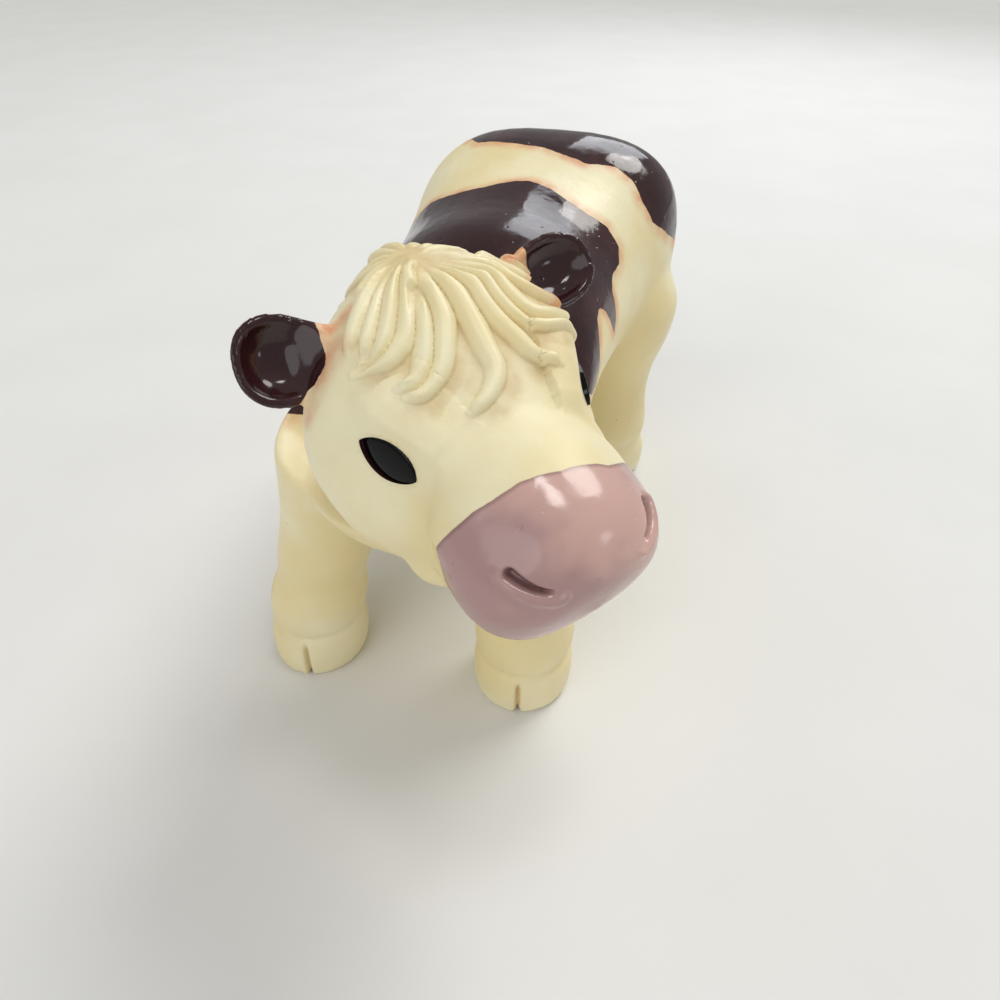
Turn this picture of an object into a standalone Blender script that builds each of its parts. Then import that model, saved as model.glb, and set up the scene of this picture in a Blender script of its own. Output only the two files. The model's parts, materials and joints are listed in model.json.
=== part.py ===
"""Toy calf figure in soft vinyl: a hollow body with four legs, and a hollow head that turns on a neck plug.

Metres, +Z up. The calf faces -Y, its own left side is +X, and its hooves stand on z = 0. The head is modelled
looking straight ahead in its own frame, which an empty on the neck's axis turns to its resting place.
"""

import math

import bmesh
import bpy
import numpy as np
from mathutils import Matrix, Vector

# Walls and clearances
WALL = 0.0022
FIT_GAP = 0.0003
CUT_OVERRUN = 0.004

# Torso: a barrel along Y, with its mid line at BARREL_LEVEL
TORSO_LENGTH = 0.1270
TORSO_WIDTH = 0.0620
TORSO_HEIGHT = 0.0500
BARREL_LEVEL = 0.0660
CHEST_REACH = 0.0600
BODY_BEND = 0.0060
TORSO_RING = 28
TORSO_STEPS = 2
# along, side bend, level, half width, rise, drop, squareness of the upper half
TORSO_SHARES = (
    (0.000, 0.00, -0.16, 0.00, 0.00, 0.00, 2.0),
    (0.010, 0.00, -0.16, 0.30, 0.20, 0.28, 2.0),
    (0.045, 0.00, -0.16, 0.60, 0.24, 0.52, 2.0),
    (0.110, 0.00, -0.15, 0.86, 0.26, 0.68, 2.1),
    (0.190, 0.00, -0.13, 0.98, 0.26, 0.76, 2.2),
    (0.280, 0.00, -0.08, 0.96, 0.30, 0.88, 2.1),
    (0.362, 0.00, 0.00, 0.95, 0.52, 0.98, 2.0),
    (0.437, 0.00, 0.01, 0.95, 0.80, 1.00, 1.9),
    (0.512, 0.00, 0.01, 0.96, 0.95, 1.00, 1.9),
    (0.625, 0.08, 0.01, 0.99, 0.99, 1.00, 2.0),
    (0.737, 0.25, 0.03, 1.05, 1.06, 0.98, 2.3),
    (0.840, 0.50, 0.07, 1.12, 1.13, 0.94, 2.7),
    (0.925, 0.75, 0.09, 1.08, 1.09, 0.86, 2.9),
    (0.974, 0.90, 0.09, 0.88, 0.88, 0.68, 2.7),
    (0.994, 1.00, 0.07, 0.46, 0.48, 0.36, 2.3),
    (1.000, 1.00, 0.06, 0.00, 0.00, 0.00, 2.0),
)
BELLY_SQUARENESS = 2.15

# Legs: each runs from its hoof up into the barrel
HOOF_WIDTH = 0.0230
HOOF_LENGTH = 0.0236
LEG_RING = 16
LEG_STEPS = 1
FRONT_LEG_RISE_SHARE = 0.02
HIND_LEG_RISE_SHARE = 0.34
LEG_CORE_SHARE = 0.36
# height, lean, inward, set back, half width, half length
FRONT_LEG_SHARES = (
    (0.000, 0.00, 0.00, 0.00, 0.90, 0.92),
    (0.019, 0.00, 0.00, 0.00, 0.97, 0.99),
    (0.080, 0.03, 0.00, 0.00, 1.01, 1.02),
    (0.143, 0.06, 0.00, 0.00, 0.98, 0.98),
    (0.177, 0.08, 0.00, 0.00, 0.86, 0.86),
    (0.212, 0.11, 0.00, 0.00, 0.96, 0.96),
    (0.274, 0.19, 0.00, 0.00, 0.99, 1.00),
    (0.337, 0.28, 0.00, 0.00, 0.93, 0.94),
    (0.371, 0.37, 0.00, 0.00, 0.89, 0.91),
    (0.446, 0.52, 0.00, 0.00, 0.95, 0.97),
    (0.532, 0.68, 0.00, 0.00, 0.96, 1.00),
    (0.640, 0.86, 0.00, 0.00, 0.96, 1.06),
    (0.770, 1.00, 0.02, 0.04, 1.00, 1.22),
    (0.880, 1.00, 0.05, 0.08, 0.96, 1.22),
    (0.960, 1.00, 0.12, 0.10, 0.80, 1.06),
    (1.000, 1.00, 0.20, 0.10, 0.52, 0.70),
)
HIND_LEG_SHARES = (
    (0.000, 0.00, 0.00, 0.00, 0.90, 0.92),
    (0.016, 0.00, 0.00, 0.00, 0.97, 0.99),
    (0.065, 0.02, 0.00, 0.00, 1.01, 1.02),
    (0.115, 0.04, 0.00, 0.00, 0.98, 0.98),
    (0.142, 0.05, 0.00, 0.00, 0.88, 0.88),
    (0.170, 0.07, 0.00, 0.00, 0.94, 0.95),
    (0.220, 0.12, 0.00, 0.02, 0.96, 0.98),
    (0.275, 0.18, 0.00, 0.04, 0.90, 0.93),
    (0.330, 0.28, 0.00, 0.10, 0.87, 0.93),
    (0.400, 0.44, 0.00, 0.16, 0.90, 1.02),
    (0.480, 0.66, 0.00, 0.12, 1.03, 1.20),
    (0.580, 0.90, -0.06, 0.02, 1.30, 1.50),
    (0.700, 1.00, 0.02, -0.06, 1.34, 1.64),
    (0.830, 1.00, 0.28, -0.08, 1.16, 1.50),
    (0.940, 1.00, 0.62, -0.10, 0.80, 1.16),
    (1.000, 1.00, 0.80, -0.10, 0.45, 0.70),
)
# hoof side and top side as shares of the torso's half width, hoof place and top place along the torso;
# last, the toe's turn in degrees towards the calf's left
LEG_PLACE_SHARES = {
    "front_right": (-0.935, 0.110, -0.740, 0.181, 11.0),
    "front_left": (0.716, 0.138, 0.740, 0.181, 9.0),
    "hind_right": (-0.726, 0.882, -0.726, 0.866, -6.0),
    "hind_left": (0.855, 0.858, 0.855, 0.866, 6.0),
}
CLEFT_WIDTH = 0.0022
CLEFT_DEPTH = 0.0015
CLEFT_HEIGHT = 0.0100

# Neck: a stump on the body, its flat seam square to the tilted axis that the head turns about
NECK_SIDE = 0.0010
NECK_FORE = 0.0410
NECK_LEVEL = 0.0680
NECK_RADIUS = 0.0185
NECK_TILT = 6.0
HEAD_PITCH = 25.0
HEAD_TURN = 49.0
NECK_DECK = 0.0030
NECK_STUMP = 0.0200
NECK_RING = 32
CHIN_ROOM_RADIUS = 0.0226
CHIN_ROOM_DEPTH = 0.0220
COLLAR_HEIGHT = 0.0160
# depth under the seam, radius
NECK_SHARES = ((0.00, 1.00), (0.30, 1.01), (0.65, 0.97), (1.00, 0.84))
# height above the seam, radius
COLLAR_SHARES = ((0.00, 1.00), (0.25, 1.00), (0.50, 0.93), (0.78, 0.80), (1.00, 0.62))

# Dish in the shoulders that the jaw turns over
JAW_ROOM_DEPTH = 0.0125
# height from the seam; half width, reach behind and reach ahead as shares of the neck's radius
JAW_ROOM_SHARES = (
    (-1.0, 1.36, 0.32, 1.35),
    (-0.6, 1.76, 0.76, 1.76),
    (0.0, 2.05, 1.30, 2.30),
    (3.2, 2.16, 1.40, 2.30),
)

# Neck plug: a spool whose flanges hold both decks
PLUG_HOLE_RADIUS = 0.0090
PLUG_FLANGE_RADIUS = 0.0118
PLUG_FLANGE_HEIGHT = 0.0022
PLUG_BORE_RADIUS = 0.0045
PLUG_CHAMFER = 0.0008
PLUG_STEPS = 28

# Head: skull, muzzle and lower jaw along the nose, all measured from the neck's seam
SKULL_BACK = 0.0230
HEAD_LENGTH = 0.0735
HEAD_WIDTH = 0.0470
HEAD_HEIGHT = 0.0340
HEAD_LEVEL = 0.0185
HEAD_RING = 28
HEAD_STEPS = 2
PROBE_SHARE = 0.01
WELD_SHARE = 0.001
# along, level, half width, rise, drop, squareness above, squareness below
SKULL_SHARES = (
    (0.000, 0.02, 0.00, 0.00, 0.00, 2.0, 2.0),
    (0.014, 0.02, 0.26, 0.32, 0.28, 2.0, 2.0),
    (0.070, 0.00, 0.52, 0.62, 0.56, 2.0, 2.0),
    (0.180, -0.03, 0.80, 0.89, 0.90, 2.1, 2.1),
    (0.320, -0.08, 1.01, 1.01, 1.08, 2.1, 2.2),
    (0.430, -0.11, 1.08, 1.02, 1.15, 2.1, 2.3),
    (0.580, -0.11, 1.03, 0.94, 1.12, 1.85, 2.3),
    (0.700, -0.05, 0.84, 0.76, 0.94, 1.9, 2.3),
    (0.810, 0.02, 0.62, 0.56, 0.64, 2.0, 2.2),
    (0.900, 0.05, 0.38, 0.34, 0.38, 2.0, 2.0),
)
MUZZLE_SHARES = (
    (0.580, 0.08, 0.54, 0.52, 0.52, 2.3, 2.4),
    (0.700, 0.09, 0.67, 0.65, 0.70, 2.3, 2.4),
    (0.780, 0.09, 0.69, 0.69, 0.76, 2.3, 2.4),
    (0.870, 0.08, 0.68, 0.70, 0.77, 2.3, 2.4),
    (0.940, 0.06, 0.60, 0.60, 0.66, 2.3, 2.4),
    (0.982, 0.05, 0.40, 0.40, 0.44, 2.2, 2.3),
    (1.000, 0.05, 0.00, 0.00, 0.00, 2.0, 2.0),
)
JAW_SHARES = (
    (0.450, -0.26, 0.60, 0.34, 0.30, 2.0, 2.0),
    (0.560, -0.26, 0.74, 0.42, 0.40, 2.0, 2.0),
    (0.640, -0.26, 0.80, 0.46, 0.46, 2.0, 2.0),
    (0.700, -0.25, 0.81, 0.46, 0.50, 2.1, 2.0),
    (0.750, -0.23, 0.75, 0.42, 0.48, 2.1, 2.0),
    (0.790, -0.21, 0.58, 0.32, 0.38, 2.0, 2.0),
    (0.812, -0.20, 0.32, 0.18, 0.22, 2.0, 2.0),
    (0.820, -0.20, 0.00, 0.00, 0.00, 2.0, 2.0),
)
PAINTED_NOSE_SHARE = 0.74

# Forelock: tapered locks that fan out over the brow from a parting on the crown
LOCK_RADIUS = 0.0028
LOCK_SINK = 0.0008
LOCK_ROOT = 0.0016
LOCK_RING = 10
LOCK_STEPS = 8
LOCK_START_SHARE = 0.10
LOCK_TIP_SHARE = 0.36
LOCK_FAN = 0.85
LOCK_SWELL = 0.8
PARTING_ALONG_SHARE = 0.15
PARTING_ANGLE = 90.0
# tip along the head, tip angle round it, sideways curl of the tip in degrees
LOCK_SHARES = (
    (0.24, 162.0, 0.0),
    (0.36, 150.0, 8.0),
    (0.46, 137.0, 12.0),
    (0.53, 123.0, 16.0),
    (0.57, 109.0, 14.0),
    (0.60, 95.0, 10.0),
    (0.56, 78.0, -4.0),
    (0.53, 62.0, -8.0),
    (0.45, 47.0, -10.0),
    (0.34, 34.0, -8.0),
    (0.22, 22.0, 0.0),
)

# Ears: cupped leaves moulded with the head, thick where they grow out of it
EAR_LENGTH = 0.0140
EAR_WIDTH = 0.0150
EAR_RING = 16
EAR_STEPS = 2
EAR_SINK = 0.0044
EAR_ALONG_SHARE = 0.245
EAR_ANGLE = 29.0
EAR_RAISE = 9.0
EAR_SWEEP = 8.0
EAR_FACE = 28.0
# along, half width, back, front
EAR_SHARES = (
    (0.000, 0.62, 0.50, 0.46),
    (0.200, 0.74, 0.48, 0.36),
    (0.320, 0.86, 0.48, 0.12),
    (0.460, 0.96, 0.50, -0.12),
    (0.640, 1.00, 0.50, -0.22),
    (0.800, 0.90, 0.44, -0.20),
    (0.920, 0.64, 0.32, -0.10),
    (0.980, 0.34, 0.18, 0.02),
    (1.000, 0.00, 0.00, 0.00),
)
PAINTED_EAR_SHARE = 0.32

# Eyes: almond inserts, domed in front, seated in sockets through the wall
EYE_LENGTH = 0.0106
EYE_HEIGHT = 0.0056
EYE_DOME = 0.0006
EYE_DEPTH = 0.0030
EYE_RECESS = 0.0010
# spread, height of the dome's rings
EYE_DOME_SHARES = ((1.0, 0.0), (0.93, 0.30), (0.74, 0.68), (0.42, 0.93))
EYE_RING = 18
EYE_POINTEDNESS = 1.5
EYE_ALONG_SHARE = 0.545
EYE_ANGLE = 40.0
EYE_SLANT = -11.0
EYE_CANT = 12.0

# Nostrils: slots in the front of the muzzle
NOSTRIL_LENGTH = 0.0076
NOSTRIL_WIDTH = 0.0020
NOSTRIL_DEPTH = 0.0030
NOSTRIL_ALONG_SHARE = 0.93
NOSTRIL_ANGLE = 50.0
NOSTRIL_SLANT = -33.0

# Tail: hangs clear of the rump from a root that plugs into the croup
TAIL_RADIUS = 0.0030
TAIL_ROOT_LENGTH = 0.0070
TAIL_REACH = 0.0080
TAIL_DROP = 0.0480
TAIL_ROOT_ALONG_SHARE = 0.981
TAIL_SIDES_RESOLUTION = 3
TAIL_LIFT = 15.0
# reach behind the root, drop under it, thickness
TAIL_SHARES = (
    (0.40, -0.02, 1.00),
    (0.80, 0.01, 1.00),
    (1.05, 0.10, 0.95),
    (1.10, 0.26, 0.88),
    (1.08, 0.48, 0.82),
    (1.03, 0.66, 0.86),
    (1.01, 0.77, 1.30),
    (1.01, 0.88, 1.50),
    (1.03, 0.96, 1.05),
    (1.05, 1.00, 0.35),
)

CREAM = (0.86, 0.77, 0.52)
BROWN = (0.045, 0.018, 0.018)
PINK = (0.66, 0.36, 0.34)
BLACK = (0.008, 0.008, 0.010)
HARD_WHITE = (0.74, 0.72, 0.66)


def finish(name, colour, roughness):
    """A Principled material of one colour."""
    material = bpy.data.materials.new(name)
    material.use_nodes = True
    shader = material.node_tree.nodes["Principled BSDF"]
    shader.inputs["Base Color"].default_value = (*colour, 1.0)
    shader.inputs["Roughness"].default_value = roughness
    material.diffuse_color = (*colour, 1.0)
    return material


def between(rows, steps):
    """Catmull-Rom rows through the given ones, with this many steps to each interval."""
    rows = np.array(rows, float)
    padded = np.vstack([2 * rows[0] - rows[1], rows, 2 * rows[-1] - rows[-2]])
    found = []
    for index in range(len(rows) - 1):
        a, b, c, d = padded[index : index + 4]
        for step in range(steps):
            t = step / steps
            bend = (2 * a - 5 * b + 4 * c - d) * t**2 + (3 * b - a - 3 * c + d) * t**3
            found.append(0.5 * (2 * b + (c - a) * t + bend))
    return found + [rows[-1]]


def row_at(rows, along):
    """The row of a station table at any place along it."""
    rows = np.array(rows, float)
    return [float(np.interp(along, rows[:, 0], rows[:, column])) for column in range(1, rows.shape[1])]


def oval_point(angle, half_width, rise, drop, upper=2.0, lower=2.0):
    """(side, up) at an angle round an oval with unlike halves; a power over 2 squares it off."""
    cosine, sine = math.cos(angle), math.sin(angle)
    power = 2 / (upper if sine >= 0 else lower)
    side = half_width * math.copysign(abs(cosine) ** power, cosine)
    up = (rise if sine >= 0 else drop) * math.copysign(abs(sine) ** power, sine)
    return side, up


def oval(half_width, rise, drop, count, upper=2.0, lower=2.0):
    """(side, up) pairs all round an oval."""
    angles = [math.tau * step / count for step in range(count)]
    return [oval_point(angle, half_width, rise, drop, upper, lower) for angle in angles]


def almond(length, height, count):
    """(side, up) pairs round a lens outline with a point at each end."""
    angles = [math.tau * step / count for step in range(count)]
    heights = [math.copysign(abs(math.sin(a)) ** EYE_POINTEDNESS, math.sin(a)) for a in angles]
    return [(length / 2 * math.cos(a), height / 2 * up) for a, up in zip(angles, heights)]


def keep(name, bm, materials, parent, collection):
    """The finished bmesh as a smooth-shaded object under its parent."""
    mesh = bpy.data.meshes.new(name)
    bm.to_mesh(mesh)
    bm.free()
    for material in materials:
        mesh.materials.append(material)
    mesh.shade_smooth()
    made = bpy.data.objects.new(name, mesh)
    made.parent = parent
    collection.objects.link(made)
    return made


def skin(name, rings, materials, parent, collection, place=None):
    """A closed loft through rings of points. A ring of one point is a pole; other end rings are capped."""
    bm = bmesh.new()
    made = [[bm.verts.new(point) for point in ring] for ring in rings]
    for first, second in zip(made, made[1:]):
        count = max(len(first), len(second))
        for step in range(count):
            after = (step + 1) % count
            corners = [first[step % len(first)], first[after % len(first)]]
            corners += [second[after % len(second)], second[step % len(second)]]
            bm.faces.new(list(dict.fromkeys(corners)))
    for ring in (made[0], made[-1]):
        if len(ring) > 1:
            bm.faces.new(ring)
    bmesh.ops.triangulate(bm, faces=bm.faces)
    bmesh.ops.recalc_face_normals(bm, faces=bm.faces)
    if place is not None:
        bm.transform(place)
    return keep(name, bm, materials, parent, collection)


def paint(made, slot, inside):
    """Gives the faces whose middle passes the test another of the object's materials."""
    for face in made.data.polygons:
        if inside(face.center):
            face.material_index = slot


def combine(target, tool, operation):
    """Joins a form to the target or cuts it out, and marks the form as a helper."""
    tool.hide_render = True
    tool.display_type = "WIRE"
    modifier = target.modifiers.new(f"{operation.lower()} {tool.name}", "BOOLEAN")
    modifier.operation = operation
    modifier.solver = "EXACT"
    modifier.object = tool


def empty(name, parent, collection, location=(0, 0, 0), turn=None):
    """A frame that pieces are placed in."""
    made = bpy.data.objects.new(name, None)
    made.parent = parent
    made.location = location
    if turn is not None:
        made.rotation_euler = turn.to_euler()
    collection.objects.link(made)
    return made


def cylinder(name, radius, low, high, materials, parent, collection, place=None):
    """A round prism about its frame's Z."""
    bm = bmesh.new()
    bmesh.ops.create_cone(
        bm, cap_ends=True, segments=NECK_RING, radius1=radius, radius2=radius, depth=high - low
    )
    bmesh.ops.translate(bm, verts=bm.verts, vec=(0, 0, (high + low) / 2))
    if place is not None:
        bm.transform(place)
    return keep(name, bm, materials, parent, collection)


def torso_rings(inset):
    """The barrel's rings; an inset makes the core that leaves the wall."""
    shrink = 1 - 2 * inset / TORSO_LENGTH
    rings = []
    for along, bend, level, width, rise, drop, square in between(TORSO_SHARES, TORSO_STEPS):
        fore = TORSO_LENGTH * (0.5 + (along - 0.5) * shrink) - CHEST_REACH
        centre = BARREL_LEVEL + level * TORSO_HEIGHT
        half_width = width * TORSO_WIDTH / 2 - inset
        half_rise = rise * TORSO_HEIGHT / 2 - inset
        half_drop = drop * TORSO_HEIGHT / 2 - inset
        if width == 0 and not inset:
            rings.append([(bend * BODY_BEND, fore, centre)])
        elif min(half_width, half_rise, half_drop) > inset / 2:
            pairs = oval(half_width, half_rise, half_drop, TORSO_RING, square, BELLY_SQUARENESS)
            rings.append([(bend * BODY_BEND + side, fore, centre + up) for side, up in pairs])
    return rings


def torso_point(along, angle):
    """A point on the barrel's surface."""
    bend, level, width, rise, drop, square = row_at(TORSO_SHARES, along)
    sizes = (width * TORSO_WIDTH / 2, rise * TORSO_HEIGHT / 2, drop * TORSO_HEIGHT / 2)
    side, up = oval_point(math.radians(angle), *sizes, square, BELLY_SQUARENESS)
    fore = TORSO_LENGTH * along - CHEST_REACH
    return Vector((bend * BODY_BEND + side, fore, BARREL_LEVEL + level * TORSO_HEIGHT + up))


def leg_place(name):
    """(side, fore) of one leg's hoof and of its top."""
    side, along, top_side, top_along, _ = LEG_PLACE_SHARES[name]
    half = TORSO_WIDTH / 2
    hoof = (side * half, along * TORSO_LENGTH - CHEST_REACH)
    return hoof, (top_side * half, top_along * TORSO_LENGTH - CHEST_REACH)


def leg_rings(name, inset):
    """One leg's rings from the sole up, or its core's from LEG_CORE_SHARE up."""
    (side, fore), (top_side, top_fore) = leg_place(name)
    hind = name.startswith("hind")
    shares = HIND_LEG_SHARES if hind else FRONT_LEG_SHARES
    height = BARREL_LEVEL + (HIND_LEG_RISE_SHARE if hind else FRONT_LEG_RISE_SHARE) * TORSO_HEIGHT
    rings = []
    for rise, lean, inward, back, width, length in between(shares, LEG_STEPS):
        half_width = width * HOOF_WIDTH / 2 - inset
        half_length = length * HOOF_LENGTH / 2 - inset
        if inset and (rise < LEG_CORE_SHARE or min(half_width, half_length) < inset):
            continue
        inner = math.copysign(inward * HOOF_WIDTH / 2, -side)
        centre_side = side + lean * (top_side - side) + inner
        centre_fore = fore + lean * (top_fore - fore) + back * HOOF_LENGTH / 2
        pairs = oval(half_width, half_length, half_length, LEG_RING)
        rings.append([(centre_side + x, centre_fore + y, rise * (height - inset)) for x, y in pairs])
    return rings


def hoof_cleft(name, materials, parent, collection):
    """The groove that splits the front of one hoof."""
    (side, fore), _ = leg_place(name)
    turn = LEG_PLACE_SHARES[name][-1]
    tall = CLEFT_HEIGHT + CUT_OVERRUN
    bm = bmesh.new()
    bmesh.ops.create_cone(
        bm, cap_ends=True, segments=8, radius1=CLEFT_DEPTH, radius2=CLEFT_DEPTH, depth=tall
    )
    narrow = Matrix.Diagonal((CLEFT_WIDTH / 2 / CLEFT_DEPTH, 1, 1, 1))
    toe = Matrix.Rotation(math.radians(turn), 4, "Z") @ Matrix.Translation((0, -HOOF_LENGTH / 2, 0))
    place = Matrix.Translation((side, fore, CLEFT_HEIGHT - tall / 2))
    bm.transform(place @ toe @ narrow)
    return keep(f"{name}_cleft", bm, materials, parent, collection)


def neck_rings(inset, top):
    """The neck stump's rings in the tilted seat's frame, from inside the chest up to the seam."""
    rings = []
    for depth, radius in reversed(NECK_SHARES):
        reach = radius * NECK_RADIUS - inset
        level = -depth * (NECK_STUMP - inset) + (1 - depth) * top
        rings.append([(x, y, level) for x, y in oval(reach, reach, reach, NECK_RING)])
    return rings


def collar_rings(inset):
    """The head's side of the neck, from the seam up into the skull."""
    rings = []
    for height, radius in COLLAR_SHARES:
        reach = radius * NECK_RADIUS - inset
        level = FIT_GAP + height * (COLLAR_HEIGHT - inset)
        rings.append([(x, y, level) for x, y in oval(reach, reach, reach, NECK_RING)])
    return rings


def jaw_room(name, grow, materials, parent, collection):
    """The dish that the jaw turns in, or the same grown by the wall to keep the core clear of it."""
    rings = []
    for height, *shares in JAW_ROOM_SHARES:
        half_width, behind, ahead = (share * NECK_RADIUS + grow for share in shares)
        level = height * JAW_ROOM_DEPTH - grow
        rings.append([(x, y, level) for x, y in oval(half_width, behind, ahead, NECK_RING)])
    return skin(name, rings, materials, parent, collection)


def head_fore(along, inset=0.0):
    """Where a share of the head's length lies in its frame, whose -Y is the way the nose points."""
    return SKULL_BACK - HEAD_LENGTH * (0.5 + (along - 0.5) * (1 - 2 * inset / HEAD_LENGTH))


def head_rings(shares, inset):
    """Rings of a form along the nose."""
    rings = []
    for along, level, width, rise, drop, upper, lower in between(shares, HEAD_STEPS):
        centre = HEAD_LEVEL + level * HEAD_HEIGHT
        half_width = width * HEAD_WIDTH / 2 - inset
        half_rise = rise * HEAD_HEIGHT / 2 - inset
        half_drop = drop * HEAD_HEIGHT / 2 - inset
        if width == 0 and not inset:
            rings.append([(0.0, head_fore(along), centre)])
        elif min(half_width, half_rise, half_drop) > inset / 2:
            pairs = oval(half_width, half_rise, half_drop, HEAD_RING, upper, lower)
            rings.append([(side, head_fore(along, inset), centre + up) for side, up in pairs])
    return rings


def head_point(shares, along, angle):
    """A point on one of the head's forms."""
    level, width, rise, drop, upper, lower = row_at(shares, along)
    sizes = (width * HEAD_WIDTH / 2, rise * HEAD_HEIGHT / 2, drop * HEAD_HEIGHT / 2)
    side, up = oval_point(math.radians(angle), *sizes, upper, lower)
    return Vector((side, head_fore(along), HEAD_LEVEL + level * HEAD_HEIGHT + up))


def head_seat(shares, along, angle, slant=0.0, cant=0.0):
    """A frame on the head's surface: Z along the normal, X along the nose, then canted and slanted."""
    point = head_point(shares, along, angle)
    ahead = head_point(shares, along + PROBE_SHARE, angle) - point
    around = head_point(shares, along, angle + math.degrees(PROBE_SHARE)) - point
    normal = around.cross(ahead).normalized()
    ahead.normalize()
    across = normal.cross(ahead)
    axes = Matrix((ahead, across, normal)).transposed()
    turn = Matrix.Rotation(math.radians(-cant), 4, "X") @ Matrix.Rotation(math.radians(slant), 4, "Z")
    return Matrix.Translation(point) @ axes.to_4x4() @ turn


def mirrored(place):
    """The same frame on the other side of the head, still right-handed."""
    flip = Matrix.Diagonal((-1, 1, 1, 1))
    return flip @ place @ Matrix.Diagonal((1, -1, 1, 1))


def lock(index, materials, parent, collection):
    """One lock of the forelock: it swells out of the parting and tapers to a curled tip."""
    tip_along, tip_angle, curl = LOCK_SHARES[index]
    seats = []
    for step in range(LOCK_STEPS):
        t = LOCK_START_SHARE + (1 - LOCK_START_SHARE) * step / (LOCK_STEPS - 1)
        along = PARTING_ALONG_SHARE + (tip_along - PARTING_ALONG_SHARE) * t
        angle = PARTING_ANGLE + (tip_angle - PARTING_ANGLE) * t**LOCK_FAN + curl * math.sin(math.pi * t) * t
        place = head_seat(SKULL_SHARES, along, angle)
        size = LOCK_RADIUS * (LOCK_TIP_SHARE + (1 - LOCK_TIP_SHARE) * math.sin(math.pi * t) ** LOCK_SWELL)
        seats.append((place.translation, place.col[2].to_3d(), size))
    rings = []
    for step, (point, normal, size) in enumerate(seats):
        before = seats[max(step - 1, 0)][0]
        after = seats[min(step + 1, LOCK_STEPS - 1)][0]
        across = normal.cross(after - before).normalized()
        centre = point - normal * LOCK_SINK
        rings.append([centre + across * x + normal * y for x, y in oval(size, size, LOCK_ROOT, LOCK_RING)])
    return skin(f"lock_{index}", rings, materials, parent, collection)


def as_mesh(made, materials, parent, collection):
    """A curve's tube made a closed mesh, so that a Boolean can take it."""
    name = made.name
    graph = bpy.context.evaluated_depsgraph_get()
    mesh = bpy.data.meshes.new_from_object(made.evaluated_get(graph))
    bm = bmesh.new()
    bm.from_mesh(mesh)
    bpy.data.objects.remove(made, do_unlink=True)
    bpy.data.meshes.remove(mesh)
    bmesh.ops.remove_doubles(bm, verts=bm.verts, dist=WALL * WELD_SHARE)
    bmesh.ops.triangulate(bm, faces=bm.faces)
    bmesh.ops.recalc_face_normals(bm, faces=bm.faces)
    return keep(name, bm, materials, parent, collection)


def ear_place(side):
    """The ear's frame: Z out along the ear, X across it, Y towards its back."""
    raised, swept, faced = map(math.radians, (EAR_RAISE, EAR_SWEEP, EAR_FACE))
    way = Vector((math.cos(raised) * math.cos(swept), math.sin(swept), math.sin(raised))).normalized()
    opening = Vector((0, -math.sin(faced), math.cos(faced)))
    back = (way * way.dot(opening) - opening).normalized()
    axes = Matrix((back.cross(way), back, way)).transposed().to_4x4()
    root = head_point(SKULL_SHARES, EAR_ALONG_SHARE, EAR_ANGLE) - way * EAR_SINK
    place = Matrix.Translation(root) @ axes
    return place if side == "left" else mirrored(place)


def ear(side, materials, parent, collection):
    """A cupped ear, painted beyond its root."""
    rings = []
    for along, width, back, front in between(EAR_SHARES, EAR_STEPS):
        sizes = (width * EAR_WIDTH / 2, back * EAR_WIDTH / 2, front * EAR_WIDTH / 2)
        level = along * (EAR_LENGTH + EAR_SINK)
        if width == 0:
            rings.append([(0.0, 0.0, level)])
        else:
            rings.append([(x, y, level) for x, y in oval(*sizes, EAR_RING)])
    made = skin(f"ear_{side}", rings, materials, parent, collection)
    paint(made, 2, lambda centre: centre.z > PAINTED_EAR_SHARE * (EAR_LENGTH + EAR_SINK))
    made.matrix_local = ear_place(side)
    return made


def eye_rings():
    """The almond's rings, from its back up to the middle of the dome."""
    pairs = almond(EYE_LENGTH, EYE_HEIGHT, EYE_RING)
    rings = [[(x, y, -EYE_DEPTH - EYE_RECESS) for x, y in pairs]]
    for spread, height in EYE_DOME_SHARES:
        rings.append([(x * spread, y * spread, height * EYE_DOME - EYE_RECESS) for x, y in pairs])
    rings.append([(0.0, 0.0, EYE_DOME - EYE_RECESS)])
    return rings


def eye_place(side):
    """The eye's frame on the skull: Z out, X along the almond."""
    place = head_seat(SKULL_SHARES, EYE_ALONG_SHARE, EYE_ANGLE, EYE_SLANT, EYE_CANT)
    return place if side == "left" else mirrored(place)


def eye_socket(side, materials, parent, collection):
    """The almond hole that the eye seats in, right through the wall."""
    pairs = almond(EYE_LENGTH + 2 * FIT_GAP, EYE_HEIGHT + 2 * FIT_GAP, EYE_RING)
    levels = (-EYE_DEPTH - CUT_OVERRUN, CUT_OVERRUN)
    rings = [[(x, y, level) for x, y in pairs] for level in levels]
    return skin(f"eye_socket_{side}", rings, materials, parent, collection, eye_place(side))


def nostril(side, materials, parent, collection):
    """The slot of one nostril."""
    place = head_seat(MUZZLE_SHARES, NOSTRIL_ALONG_SHARE, NOSTRIL_ANGLE, NOSTRIL_SLANT)
    bm = bmesh.new()
    bmesh.ops.create_uvsphere(bm, u_segments=16, v_segments=8, radius=1)
    sizes = Matrix.Diagonal((NOSTRIL_LENGTH / 2, NOSTRIL_WIDTH / 2, NOSTRIL_DEPTH / 2, 1))
    bm.transform((place if side == "left" else mirrored(place)) @ sizes)
    if side == "right":
        bmesh.ops.recalc_face_normals(bm, faces=bm.faces)
    return keep(f"nostril_{side}", bm, materials, parent, collection)


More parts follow.
